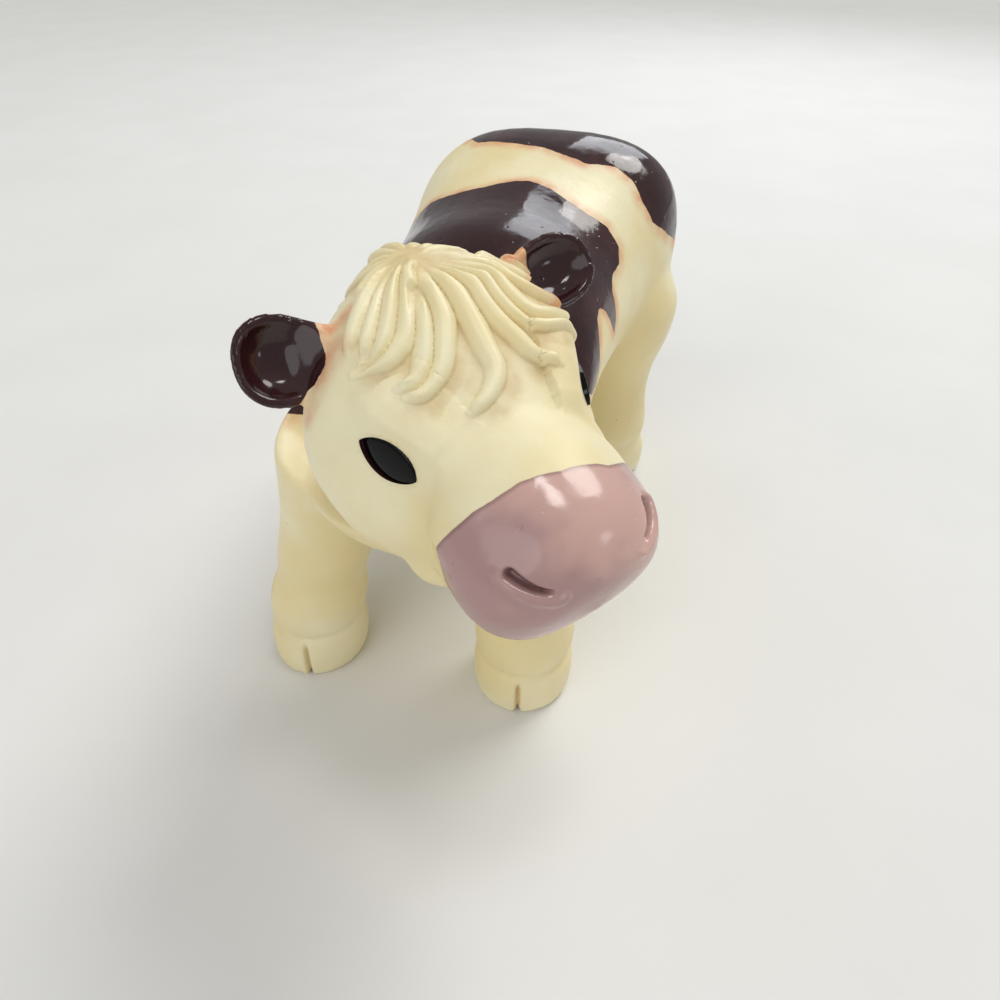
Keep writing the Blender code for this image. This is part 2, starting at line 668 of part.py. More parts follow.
def neck_plug(materials, parent, collection):
    """The spool, turned about the neck's axis."""
    stem = PLUG_HOLE_RADIUS - FIT_GAP
    low = -NECK_DECK - FIT_GAP
    high = NECK_DECK + 2 * FIT_GAP
    rim = PLUG_FLANGE_RADIUS - PLUG_CHAMFER
    profile = [
        (PLUG_BORE_RADIUS, high + PLUG_FLANGE_HEIGHT),
        (rim, high + PLUG_FLANGE_HEIGHT),
        (PLUG_FLANGE_RADIUS, high + PLUG_FLANGE_HEIGHT - PLUG_CHAMFER),
        (PLUG_FLANGE_RADIUS, high),
        (stem, high),
        (stem, low),
        (PLUG_FLANGE_RADIUS, low),
        (PLUG_FLANGE_RADIUS, low - PLUG_FLANGE_HEIGHT + PLUG_CHAMFER),
        (rim, low - PLUG_FLANGE_HEIGHT),
        (PLUG_BORE_RADIUS, low - PLUG_FLANGE_HEIGHT),
    ]
    bm = bmesh.new()
    corners = [bm.verts.new((radius, 0, level)) for radius, level in profile]
    for first, second in zip(corners, corners[1:] + corners[:1]):
        bm.edges.new((first, second))
    made = keep("neck_plug", bm, materials, parent, collection)
    turned = made.modifiers.new("turned", "SCREW")
    turned.steps = PLUG_STEPS
    turned.render_steps = PLUG_STEPS
    return made


def tail_root():
    """Where the tail leaves the croup, and the way its root points."""
    lift = math.radians(TAIL_LIFT)
    return torso_point(TAIL_ROOT_ALONG_SHARE, 90), Vector((0, math.cos(lift), math.sin(lift)))


def tail(materials, parent, collection):
    """A tapered tube with a tuft, from inside the croup down behind the rump."""
    point, way = tail_root()
    start = point + way * TAIL_RADIUS / 2
    route = [(point - way * TAIL_ROOT_LENGTH, 1.0), (start, 1.0)]
    for reach, drop, thickness in between(TAIL_SHARES, 2):
        place = start + Vector((0, reach * TAIL_REACH, -drop * TAIL_DROP))
        route.append((place, thickness))
    curve = bpy.data.curves.new("tail_route", "CURVE")
    curve.dimensions = "3D"
    curve.bevel_depth = TAIL_RADIUS
    curve.bevel_resolution = TAIL_SIDES_RESOLUTION
    curve.use_fill_caps = True
    spline = curve.splines.new("POLY")
    spline.points.add(len(route) - 1)
    for target, (place, thickness) in zip(spline.points, route):
        target.co = (*place, 1.0)
        target.radius = thickness
    made = bpy.data.objects.new("tail", curve)
    collection.objects.link(made)
    return as_mesh(made, materials, parent, collection)


def body_shell(materials, figure, seat, parts, tools):
    """The hollow body: barrel, legs and neck stump joined, then cored, pierced and cleft."""
    body = skin("body_shell", torso_rings(0), materials, figure, parts)
    legs = [skin(f"{name}_leg", leg_rings(name, 0), materials, figure, tools) for name in LEG_PLACE_SHARES]
    for leg in legs:
        combine(body, leg, "UNION")
    combine(body, jaw_room("jaw_room", 0, materials, seat, tools), "DIFFERENCE")
    combine(body, skin("neck_stump", neck_rings(0, 0), materials, seat, tools), "UNION")

    core = skin("body_core", torso_rings(WALL), materials, figure, tools)
    for name in LEG_PLACE_SHARES:
        combine(core, skin(f"{name}_core", leg_rings(name, WALL), materials, figure, tools), "UNION")
    combine(core, jaw_room("jaw_room_wall", WALL, materials, seat, tools), "DIFFERENCE")
    combine(core, skin("neck_core", neck_rings(WALL, -NECK_DECK), materials, seat, tools), "UNION")
    combine(body, core, "DIFFERENCE")

    low = -NECK_DECK - CUT_OVERRUN
    hole = cylinder("plug_hole", PLUG_HOLE_RADIUS, low, CUT_OVERRUN, materials, seat, tools)
    combine(body, hole, "DIFFERENCE")
    point, way = tail_root()
    place = Matrix.Translation(point) @ way.to_track_quat("Z", "Y").to_matrix().to_4x4()
    reach = TAIL_RADIUS + FIT_GAP
    length = TAIL_ROOT_LENGTH + CUT_OVERRUN
    socket = cylinder("tail_hole", reach, -length, length, materials, figure, tools, place)
    combine(body, socket, "DIFFERENCE")
    for name in LEG_PLACE_SHARES:
        combine(body, hoof_cleft(name, materials, figure, tools), "DIFFERENCE")
    return body


def head_shell(materials, pivot, frame, parts, tools):
    """The hollow head: skull, muzzle, jaw, collar and forelock joined, then cored and given its sockets."""
    head = skin("head_shell", head_rings(SKULL_SHARES, 0), materials, frame, parts)
    muzzle = skin("muzzle", head_rings(MUZZLE_SHARES, 0), materials, frame, tools)
    for form in (head, muzzle):
        paint(form, 1, lambda centre: centre.y < head_fore(PAINTED_NOSE_SHARE))
    combine(head, muzzle, "UNION")
    combine(head, skin("lower_jaw", head_rings(JAW_SHARES, 0), materials, frame, tools), "UNION")
    combine(head, skin("neck_collar", collar_rings(0), materials, pivot, tools), "UNION")
    for side in ("left", "right"):
        combine(head, ear(side, materials, frame, tools), "UNION")
    for index in range(len(LOCK_SHARES)):
        combine(head, lock(index, materials, frame, tools), "UNION")
    chin = cylinder("chin_room", CHIN_ROOM_RADIUS, -CHIN_ROOM_DEPTH, FIT_GAP, materials, pivot, tools)
    combine(head, chin, "DIFFERENCE")

    core = skin("head_core", head_rings(SKULL_SHARES, WALL), materials, frame, tools)
    combine(core, skin("muzzle_core", head_rings(MUZZLE_SHARES, WALL), materials, frame, tools), "UNION")
    combine(core, skin("collar_core", collar_rings(WALL), materials, pivot, tools), "UNION")
    deck = FIT_GAP + NECK_DECK
    reach = CHIN_ROOM_RADIUS + WALL
    room = cylinder("head_deck_room", reach, -CHIN_ROOM_DEPTH - WALL, deck, materials, pivot, tools)
    combine(core, room, "DIFFERENCE")
    combine(head, core, "DIFFERENCE")

    top = deck + CUT_OVERRUN
    hole = cylinder("collar_hole", PLUG_HOLE_RADIUS, -CUT_OVERRUN, top, materials, pivot, tools)
    combine(head, hole, "DIFFERENCE")
    for side in ("left", "right"):
        combine(head, eye_socket(side, materials, frame, tools), "DIFFERENCE")
        combine(head, nostril(side, materials, frame, tools), "DIFFERENCE")
    return head


def centre_on_origin(figure, parts):
    """Moves the whole figure so that the middle of its bounding box stands on the origin."""
    bpy.context.view_layer.update()
    graph = bpy.context.evaluated_depsgraph_get()
    corners = []
    for made in parts.objects:
        if made.type == "MESH":
            shaped = made.evaluated_get(graph)
            corners += [shaped.matrix_world @ vertex.co for vertex in shaped.data.vertices]
    sides = np.array(corners)
    middle = (sides.min(axis=0) + sides.max(axis=0)) / 2
    figure.location = (-middle[0], -middle[1], 0)


def main():
    for old in list(bpy.data.objects):
        bpy.data.objects.remove(old, do_unlink=True)
    parts = bpy.data.collections.new("toy calf")
    tools = bpy.data.collections.new("forms and cutters")
    bpy.context.scene.collection.children.link(parts)
    bpy.context.scene.collection.children.link(tools)

    cream = finish("cream vinyl", CREAM, 0.38)
    brown = finish("dark brown paint", BROWN, 0.2)
    pink = finish("pink paint", PINK, 0.3)
    black = finish("black gloss plastic", BLACK, 0.08)
    white = finish("hard white plastic", HARD_WHITE, 0.45)

    figure = empty("figure", None, parts)
    seat_turn = Matrix.Rotation(math.radians(NECK_TILT), 3, "X")
    seat = empty("neck_seat", figure, parts, (NECK_SIDE, -NECK_FORE, NECK_LEVEL), seat_turn)
    pivot = empty("neck_pivot", seat, parts, turn=Matrix.Rotation(math.radians(HEAD_TURN), 3, "Z"))
    pitch = Matrix.Rotation(math.radians(HEAD_PITCH - NECK_TILT), 3, "X")
    frame = empty("head_frame", pivot, parts, turn=pitch)

    body_shell((cream,), figure, seat, parts, tools)
    head_shell((cream, pink, brown), pivot, frame, parts, tools)
    neck_plug((white,), pivot, parts)
    for side in ("left", "right"):
        eye = skin(f"eye_{side}", eye_rings(), (black,), frame, parts)
        eye.matrix_local = eye_place(side)
    tail((cream,), figure, parts)
    centre_on_origin(figure, parts)


if __name__ == "__main__":
    main()
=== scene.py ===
"""Looks of a hollow vinyl toy calf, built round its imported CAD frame.

The calf faces -Y, its own left side is +X and its hooves stand on z = 0. Every form is measured in millimetres in
the modelling frame, whose origin the neck joint's place gives, and ends in the row frame in metres.
"""

import json
import logging
import math
from collections.abc import Callable, Sequence
from dataclasses import dataclass, field
from enum import Enum

import bpy
import numpy as np
from mathutils import Matrix, Vector
from mathutils.bvhtree import BVHTree

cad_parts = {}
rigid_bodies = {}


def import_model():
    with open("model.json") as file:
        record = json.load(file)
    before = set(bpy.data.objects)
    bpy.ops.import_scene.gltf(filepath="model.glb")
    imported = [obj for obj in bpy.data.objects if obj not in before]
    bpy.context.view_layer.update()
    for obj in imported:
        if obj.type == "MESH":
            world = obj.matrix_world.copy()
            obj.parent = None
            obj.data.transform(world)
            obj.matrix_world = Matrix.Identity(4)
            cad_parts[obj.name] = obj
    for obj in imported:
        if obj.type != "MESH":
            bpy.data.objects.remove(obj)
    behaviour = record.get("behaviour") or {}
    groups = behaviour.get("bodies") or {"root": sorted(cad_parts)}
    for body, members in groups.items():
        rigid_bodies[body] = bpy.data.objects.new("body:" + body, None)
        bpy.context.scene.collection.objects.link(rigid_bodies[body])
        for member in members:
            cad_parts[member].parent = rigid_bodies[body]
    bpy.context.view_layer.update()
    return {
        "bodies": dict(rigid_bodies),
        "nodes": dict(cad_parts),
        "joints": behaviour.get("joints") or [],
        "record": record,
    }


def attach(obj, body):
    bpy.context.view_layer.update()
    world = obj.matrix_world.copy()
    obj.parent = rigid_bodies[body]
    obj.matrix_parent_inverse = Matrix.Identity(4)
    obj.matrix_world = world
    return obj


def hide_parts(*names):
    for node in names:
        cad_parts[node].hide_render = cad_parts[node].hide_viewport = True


LOG = logging.getLogger("toy_calf")
MM = 0.001
# A mark's value well outside any painted patch, in millimetres
FAR = -20.0
# Points round an eye and its socket
EYE_RING = 64
Rows = Sequence[Sequence[float]]
Points = Sequence[Sequence[float]]


class Side(Enum):
    """A side of the calf, with the sign of its own X."""

    LEFT = 1
    RIGHT = -1


class Mark(Enum):
    """A value held at every point of a painted piece, or at every face for its sockets, which its material reads; the
    socket mark paints the sockets' walls dark as painted shade.
    """

    PATCH = "patch"
    NOSE = "nose"
    BLUSH = "blush"
    # Darkening of hollows, creases, nostrils, hoof clefts and socket rims: partly grime, partly painted shade
    GRIME_AND_SHADE = "grime_and_shade"
    STAIN = "stain"
    # Socket walls painted dark brown: painted shade in the eye's recess
    SOCKET = "socket"


def linear(code: str) -> tuple[float, float, float, float]:
    """Turns an sRGB hex colour into the linear one that a shader socket takes.

    Args:
        code: Six hex digits with a leading hash.

    Returns:
        Linear red, green and blue, and an alpha of one.
    """
    parts = [int(code[at : at + 2], 16) / 255 for at in (1, 3, 5)]
    made = [part / 12.92 if part <= 0.04045 else ((part + 0.055) / 1.055) ** 2.4 for part in parts]
    return made[0], made[1], made[2], 1.0


def between(rows: Rows, steps: int) -> np.ndarray:
    """Adds Catmull-Rom rows between the given ones.

    Args:
        rows: Rows of a station table.
        steps: How many rows each interval becomes.

    Returns:
        The denser table.
    """
    given = np.array(rows, float)
    padded = np.vstack([2 * given[0] - given[1], given, 2 * given[-1] - given[-2]])
    found = []
    for index in range(len(given) - 1):
        a, b, c, d = padded[index : index + 4]
        for t in np.arange(steps) / steps:
            bend = (2 * a - 5 * b + 4 * c - d) * t**2 + (3 * b - a - 3 * c + d) * t**3
            found.append(0.5 * (2 * b + (c - a) * t + bend))
    return np.array([*found, given[-1]])


def row_at(rows: Rows, along: float | np.ndarray) -> list[np.ndarray]:
    """Reads a station table at one place or at many.

    Args:
        rows: Rows whose first column is the place.
        along: Where to read it.

    Returns:
        The other columns at that place.
    """
    table = np.array(rows, float)
    return [np.interp(along, table[:, 0], table[:, column]) for column in range(1, table.shape[1])]


def oval(
    angles: np.ndarray, half_width: float, rise: float, drop: float, upper: float = 2.0, lower: float = 2.0
) -> tuple[np.ndarray, np.ndarray]:
    """Walks round an oval with unlike halves; a power over two squares a half off.

    Args:
        angles: Angles from the side, in radians.
        half_width: Half the oval's width.
        rise: Its height above the middle.
        drop: Its depth below the middle.
        upper: Squareness of the upper half.
        lower: Squareness of the lower half.

    Returns:
        The sideways and the upward coordinates.
    """
    cosine, sine = np.cos(angles), np.sin(angles)
    power = 2 / np.where(sine >= 0, upper, lower)
    side = half_width * np.sign(cosine) * np.abs(cosine) ** power
    up = np.where(sine >= 0, rise, drop) * np.sign(sine) * np.abs(sine) ** power
    return side, up


def round_angles(count: int) -> np.ndarray:
    """Angles of so many points evenly round a ring."""
    return np.arange(count) * math.tau / count


def smooth_step(low: float, high: float, value: np.ndarray) -> np.ndarray:
    """Eases from 0 at low to 1 at high."""
    t = np.clip((value - low) / (high - low), 0, 1)
    return t * t * (3 - 2 * t)


def only(*pieces: bpy.types.Object) -> None:
    """Selects these pieces and nothing else, with the first one active."""
    bpy.ops.object.select_all(action="DESELECT")
    for piece in pieces:
        piece.select_set(True)
    bpy.context.view_layer.objects.active = pieces[0]


def points_of(piece: bpy.types.Object, what: str = "co") -> np.ndarray:
    """Reads a piece's vertices, or their normals, in one array."""
    found = np.empty(len(piece.data.vertices) * 3, np.float32)
    piece.data.vertices.foreach_get(what, found)
    return found.reshape(-1, 3).astype(float)


def move_points(piece: bpy.types.Object, places: np.ndarray) -> None:
    """Puts a piece's vertices at new places."""
    piece.data.vertices.foreach_set("co", places.astype(np.float32).ravel())
    piece.data.update()


def write_mark(piece: bpy.types.Object, mark: Mark, values: np.ndarray) -> None:
    """Holds one value at each point of a piece for its material."""
    held = piece.data.attributes.new(mark.value, "FLOAT", "POINT")
    held.data.foreach_set("value", values.astype(np.float32))


def mark_faces(piece: bpy.types.Object, mark: Mark, value: float) -> None:
    """Holds one value on every face of a piece, so that a cut keeps its edge crisp."""
    held = piece.data.attributes.new(mark.value, "FLOAT", "FACE")
    held.data.foreach_set("value", np.full(len(piece.data.polygons), value, np.float32))


def loft(name: str, rings: np.ndarray) -> bpy.types.Object:
    """Extrudes a disc once for each ring, then gives every ring its section.

    Args:
        name: The form's name.
        rings: Sections as an array of ring, point and coordinate, in metres.

    Returns:
        One closed form, its normals outwards.
    """
    count = rings.shape[1]
    bpy.ops.object.select_all(action="DESELECT")
    bpy.ops.mesh.primitive_circle_add(vertices=count, radius=1.0, fill_type="NGON")
    made = bpy.context.object
    made.name = name
    bpy.ops.object.mode_set(mode="EDIT")
    bpy.ops.mesh.select_mode(type="FACE")
    bpy.ops.mesh.select_all(action="SELECT")
    for _ in range(len(rings) - 1):
        bpy.ops.mesh.extrude_region_move(TRANSFORM_OT_translate={"value": (0, 0, 1)})
    bpy.ops.object.mode_set(mode="OBJECT")
    flat = points_of(made)
    level = np.rint(flat[:, 2]).astype(int)
    step = np.rint(np.arctan2(flat[:, 1], flat[:, 0]) / math.tau * count).astype(int) % count
    move_points(made, rings[level, step])
    bpy.ops.object.mode_set(mode="EDIT")
    bpy.ops.mesh.select_all(action="SELECT")
    bpy.ops.mesh.remove_doubles(threshold=1e-6)
    bpy.ops.mesh.normals_make_consistent(inside=False)
    bpy.ops.object.mode_set(mode="OBJECT")
    return made


def apply_modifier(piece: bpy.types.Object, kind: str, **settings: object) -> None:
    """Adds a modifier with its settings and applies it."""
    modifier = piece.modifiers.new(kind.lower(), kind)
    for key, value in settings.items():
        setattr(modifier, key, value)
    only(piece)
    bpy.ops.object.modifier_apply(modifier=modifier.name)


def fuse(forms: Sequence[bpy.types.Object], voxel: float) -> bpy.types.Object:
    """Joins overlapping forms into the first one and remeshes them as one skin of this grain."""
    only(*forms)
    if len(forms) > 1:
        bpy.ops.object.join()
    made = forms[0]
    apply_modifier(made, "REMESH", mode="VOXEL", voxel_size=voxel, use_smooth_shade=True)
    return made


def carve(piece: bpy.types.Object, cutter: bpy.types.Object) -> None:
    """Cuts a form out of a piece and removes the form."""
    apply_modifier(piece, "BOOLEAN", operation="DIFFERENCE", solver="EXACT", object=cutter)
    bpy.data.objects.remove(cutter, do_unlink=True)


def tree_of(piece: bpy.types.Object) -> BVHTree:
    """A search tree over a piece's faces."""
    return BVHTree.FromPolygons([v.co for v in piece.data.vertices], [p.vertices[:] for p in piece.data.polygons])


def gaps_to(tree: BVHTree, places: np.ndarray) -> np.ndarray:
    """How far each place is from a surface, in metres."""
    return np.array([tree.find_nearest(Vector(place))[3] for place in places])


def snapped(tree: BVHTree, places: np.ndarray) -> np.ndarray:
    """The nearest points of a surface."""
    return np.array([tree.find_nearest(Vector(place))[0] for place in places])


def ease_where(piece: bpy.types.Object, weights: np.ndarray, turns: int, factor: float = 0.5) -> None:
    """Smooths a piece in proportion to a weight at each vertex.

    Args:
        piece: The piece to smooth.
        weights: One weight from 0 to 1 for each vertex.
        turns: How often to smooth.
        factor: How far each turn goes.
    """
    group = piece.vertex_groups.new(name="eased")
    tenths = np.rint(np.clip(weights, 0, 1) * 10).astype(int)
    for tenth in range(1, 11):
        found = np.nonzero(tenths == tenth)[0]
        if len(found):
            group.add(found.tolist(), tenth / 10, "REPLACE")
    apply_modifier(piece, "SMOOTH", factor=factor, iterations=turns, vertex_group="eased")
    piece.vertex_groups.clear()


def ease_creases(
    piece: bpy.types.Object, trees: Sequence[BVHTree], reach: float, turns: int, sharp: frozenset[int] = frozenset()
) -> None:
    """Rounds the hollows where two forms meet, as a mould's own fillets do.

    Args:
        piece: The fused piece.
        trees: The surfaces of the forms that it was fused from.
        reach: How far from both forms the rounding goes, in metres.
        turns: How often to smooth.
        sharp: The numbers of two forms whose crease stays sharp.
    """
    places = points_of(piece)
    gaps = np.stack([gaps_to(tree, places) for tree in trees])
    order = np.argsort(gaps, axis=0)
    second = np.take_along_axis(gaps, order[1:2], axis=0)[0]
    kept = np.isin(order[0], list(sharp)) & np.isin(order[1], list(sharp))
    ease_where(piece, (1 - smooth_step(0.25 * reach, reach, second)) * np.where(kept, 0.1, 1.0), turns)


def refine_where(piece: bpy.types.Object, inside: Callable[[np.ndarray], np.ndarray]) -> None:
    """Subdivides the faces whose corners all pass a test.

    Args:
        piece: The piece to refine.
        inside: Takes the places of the vertices and says which pass.
    """
    chosen = inside(points_of(piece))
    only(piece)
    bpy.ops.object.mode_set(mode="EDIT")
    bpy.ops.mesh.select_mode(type="VERT")
    bpy.ops.mesh.select_all(action="DESELECT")
    bpy.ops.object.mode_set(mode="OBJECT")
    piece.data.vertices.foreach_set("select", chosen)
    bpy.ops.object.mode_set(mode="EDIT")
    bpy.ops.mesh.select_mode(type="FACE")
    bpy.ops.mesh.subdivide(number_cuts=1, smoothness=0.0)
    bpy.ops.object.mode_set(mode="OBJECT")


def path_distance(places: np.ndarray, path: np.ndarray) -> tuple[np.ndarray, np.ndarray]:
    """Measures places against a path.

    Args:
        places: Where to measure from.
        path: The path's points.

    Returns:
        The distance to the path, and how far along it the nearest point is, from 0 to 1.
    """
    lengths = np.linalg.norm(np.diff(path, axis=0), axis=1)
    starts = np.concatenate([[0], np.cumsum(lengths)])
    best = np.full(len(places), np.inf)
    where = np.zeros(len(places))
    for index, (first, second) in enumerate(zip(path, path[1:])):
        way = second - first
        t = np.clip((places - first) @ way / (way @ way), 0, 1)
        gap = np.linalg.norm(places - first - t[:, None] * way, axis=1)
        closer = gap < best
        best[closer] = gap[closer]
        where[closer] = (starts[index] + t[closer] * lengths[index]) / starts[-1]
    return best, where


def polygon_distance(x: np.ndarray, y: np.ndarray, outline: Points) -> np.ndarray:
    """Signed distance to an outline, positive inside it.

    Args:
        x: First coordinates.
        y: Second coordinates.
        outline: Corners of the outline.

    Returns:
        The distance in the coordinates' own unit.
    """
    corners = np.array(outline, float)
    places = np.stack([x, y], axis=1)
    best = np.full(len(x), np.inf)
    inside = np.zeros(len(x), bool)
    for first, second in zip(corners, np.roll(corners, -1, axis=0)):
        way = second - first
        t = np.clip((places - first) @ way / (way @ way), 0, 1)
        best = np.minimum(best, np.linalg.norm(places - first - t[:, None] * way, axis=1))
        spans = (first[1] > y) != (second[1] > y)
        crossing = first[0] + (y - first[1]) / (second[1] - first[1] + 1e-12) * way[0]
        inside ^= spans & (x < crossing)
    return np.where(inside, best, -best)


def add(tree: bpy.types.NodeTree, kind: str, inputs: dict | None = None, **settings: object) -> bpy.types.Node:
    """Adds a node to a material.

    Args:
        tree: The material's node tree.
        kind: The node's type, without its leading words ShaderNode.
        inputs: Values or output sockets for its inputs, by name or number.
        settings: The node's own properties.

    Returns:
        The node.
    """
    made = tree.nodes.new(f"ShaderNode{kind}")
    for key, value in settings.items():
        setattr(made, key, value)
    for key, value in (inputs or {}).items():
        if isinstance(value, bpy.types.NodeSocket):
            tree.links.new(value, made.inputs[key])
        else:
            made.inputs[key].default_value = value
    return made


class Nodes:
    """A material's tree with the few sums that every finish is made of."""

    def __init__(self, name: str) -> None:
        """Makes an empty material of this name."""
        self.material = bpy.data.materials.new(name)
        self.material.use_nodes = True
        self.tree = self.material.node_tree
        self.tree.nodes.clear()
        self.place = add(self.tree, "TexCoord").outputs["Object"]

    def noise(self, size: float, detail: float = 3.0, roughness: float = 0.5) -> bpy.types.NodeSocket:
        """A cloudy pattern whose blots are about this many millimetres wide."""
        inputs = {"Vector": self.place, "Scale": 1 / (size * MM), "Detail": detail, "Roughness": roughness}
        return add(self.tree, "TexNoise", inputs).outputs["Fac"]

    def cells(self, size: float) -> bpy.types.Node:
        """Scattered points about this many millimetres apart."""
        return add(self.tree, "TexVoronoi", {"Vector": self.place, "Scale": 1 / (size * MM)})

    def mark(self, mark: Mark) -> bpy.types.NodeSocket:
        """A value held at the piece's points."""
        return add(self.tree, "Attribute", attribute_name=mark.value).outputs["Fac"]

    def sum(self, kind: str, *values: object) -> bpy.types.NodeSocket:
        """One step of arithmetic on sockets and numbers."""
        return add(self.tree, "Math", dict(enumerate(values)), operation=kind).outputs[0]

    def ramp(
        self, value: object, low: float, high: float, start: float = 0.0, end: float = 1.0
    ) -> bpy.types.NodeSocket:
        """A value eased from start at low to end at high."""
        inputs = {"Value": value, "From Min": low, "From Max": high, "To Min": start, "To Max": end}
        return add(self.tree, "MapRange", inputs, interpolation_type="SMOOTHSTEP").outputs["Result"]

    def blend(self, share: object, first: object, second: object) -> bpy.types.NodeSocket:
        """The first colour turning into the second as the share grows."""
        inputs = {"Factor": share, 6: first, 7: second}
        return add(self.tree, "Mix", inputs, data_type="RGBA").outputs[2]

    def between(self, share: object, first: object, second: object) -> bpy.types.NodeSocket:
        """The first number turning into the second as the share grows."""
        return add(self.tree, "Mix", {0: share, 2: first, 3: second}, data_type="FLOAT").outputs[0]

    def bump(self, height: object, distance: float, under: object = None) -> bpy.types.NodeSocket:
        """A normal from a height of so many millimetres, over another normal if there is one."""
        inputs = {"Height": height, "Distance": distance * MM, "Strength": 1.0}
        if under is not None:
            inputs["Normal"] = under
        return add(self.tree, "Bump", inputs).outputs["Normal"]

    def surface(self, **inputs: object) -> bpy.types.Material:
        """Ends the tree in a Principled shader with these inputs."""
        named = {key.replace("_", " "): value for key, value in inputs.items()}
        shader = add(self.tree, "BsdfPrincipled", named)
        add(self.tree, "OutputMaterial", {"Surface": shader.outputs[0]})
        return self.material


@dataclass(frozen=True)
class PaintedVinyl:
    """Plasticised PVC, rotocast in a metal mould, sprayed and masked with gloss enamel.

    Age has yellowed the vinyl unevenly; its hollows darken towards ochre, partly as grime and partly as painted shade,
    and the socket walls are painted dark brown as painted shade; the paint shows its own thickness at the edge.
    """

    name: str = "rotocast PVC vinyl, aged cream, with sprayed enamel"
    pale: str = "#f5ecc6"
    warm: str = "#eedca6"
    # Ochre that the hollows darken to: partly grime, partly painted shade
    hollow: str = "#c19a58"
    overspray: str = "#dd8f5e"
    stain: str = "#e2bf2e"
    speck: str = "#6f5a3c"
    brown: str = "#301416"
    brown_worn: str = "#422324"
    pink: str = "#d3aca1"
    mauve: str = "#b3908d"
    # Darker pink of paint pooled at the nose paint's edge, also used as painted shade in the nostrils and the mouth's
    # corner
    pink_edge_and_shade: str = "#76504d"

    def make(self) -> bpy.types.Material:
        """Builds the material."""
        n = Nodes(self.name)
        cloud, mottle, fine = n.noise(34), n.noise(7), n.noise(1.4, 4)
        ragged = n.sum("MULTIPLY_ADD", fine, 0.5, n.sum("MULTIPLY_ADD", mottle, 0.6, -0.55))
        patch = n.sum("ADD", n.mark(Mark.PATCH), ragged)
        nose = n.sum("ADD", n.mark(Mark.NOSE), n.sum("MULTIPLY", ragged, 0.5))
        brown = n.ramp(patch, -0.08, 0.08)
        pink = n.ramp(nose, -0.12, 0.12)

        cream = n.blend(n.ramp(cloud, 0.38, 0.62), linear(self.pale), linear(self.warm))
        cream = n.blend(n.ramp(mottle, 0.35, 0.75, 0, 0.28), cream, linear(self.warm))
        # Hollows darken towards the ochre: partly grime, partly painted shade
        hollow_grime_and_shade = n.sum("MULTIPLY", n.mark(Mark.GRIME_AND_SHADE), n.ramp(n.noise(4), 0.3, 0.7, 0.35, 1.0))
        cream = n.blend(n.sum("MULTIPLY", hollow_grime_and_shade, 0.55), cream, linear(self.hollow))
        mist = n.sum("MULTIPLY", n.ramp(patch, -3.4, -0.05), n.ramp(n.noise(5), 0.3, 0.7, 0.25, 0.8))
        mist = n.sum("MAXIMUM", mist, n.sum("MULTIPLY", n.mark(Mark.BLUSH), n.ramp(fine, 0.25, 0.7, 0.55, 1.0)))
        cream = n.blend(mist, cream, linear(self.overspray))
        cream = n.blend(n.mark(Mark.STAIN), cream, linear(self.stain))
        dots = n.cells(5.5)
        near = n.ramp(dots.outputs["Distance"], 0.035, 0.02)
        rare = n.ramp(add(n.tree, "SeparateColor", {"Color": dots.outputs["Color"]}).outputs[0], 0.5, 0.6)
        cream = n.blend(n.sum("MULTIPLY", n.sum("MULTIPLY", near, rare), 0.7), cream, linear(self.speck))

        rose = n.blend(n.ramp(n.noise(18), 0.38, 0.62), linear(self.pink), linear(self.mauve))
        rose = n.blend(n.ramp(nose, 0.9, 0.0, 0, 0.55), rose, linear(self.pink_edge_and_shade))
        # Nostrils and the mouth's corner darken towards the darker pink: painted shade
        rose = n.blend(n.sum("MULTIPLY", n.mark(Mark.GRIME_AND_SHADE), 0.7), rose, linear(self.pink_edge_and_shade))
        dark = n.blend(n.ramp(n.noise(9, 4), 0.45, 0.75), linear(self.brown), linear(self.brown_worn))
        colour = n.blend(pink, cream, rose)
        # The patches' brown, and the socket walls painted the same dark brown as painted shade
        colour = n.blend(n.sum("MAXIMUM", brown, n.mark(Mark.SOCKET)), colour, dark)

        waxy = n.ramp(n.noise(11, 3), 0.3, 0.7, 0.34, 0.5)
        shine = n.between(pink, waxy, n.ramp(n.noise(6), 0.3, 0.7, 0.11, 0.2))
        shine = n.between(brown, shine, n.ramp(n.noise(8), 0.3, 0.7, 0.08, 0.18))

        painted = n.sum("MAXIMUM", brown, pink)
        pits = n.cells(4.2)
        bubble = n.sum("MULTIPLY", n.ramp(pits.outputs["Distance"], 0.13, 0.05), n.sum("MULTIPLY", painted, -1.0))
        grain = n.sum("MULTIPLY", n.noise(0.9, 2), n.between(painted, 0.035, 0.01))
        swell = n.sum("MULTIPLY", n.noise(5.5, 2), 0.16)
        height = n.sum("ADD", n.sum("ADD", grain, swell), n.sum("MULTIPLY", painted, 0.09))
        height = n.sum("MULTIPLY_ADD", bubble, 0.12, height)
        inputs = {"Base_Color": colour, "Roughness": shine, "Normal": n.bump(height, 1.0), "IOR": 1.5}
        inputs |= {"Subsurface_Weight": 0.1, "Subsurface_Radius": (1.0, 0.6, 0.3), "Subsurface_Scale": 0.0025}
        return n.surface(**inputs)


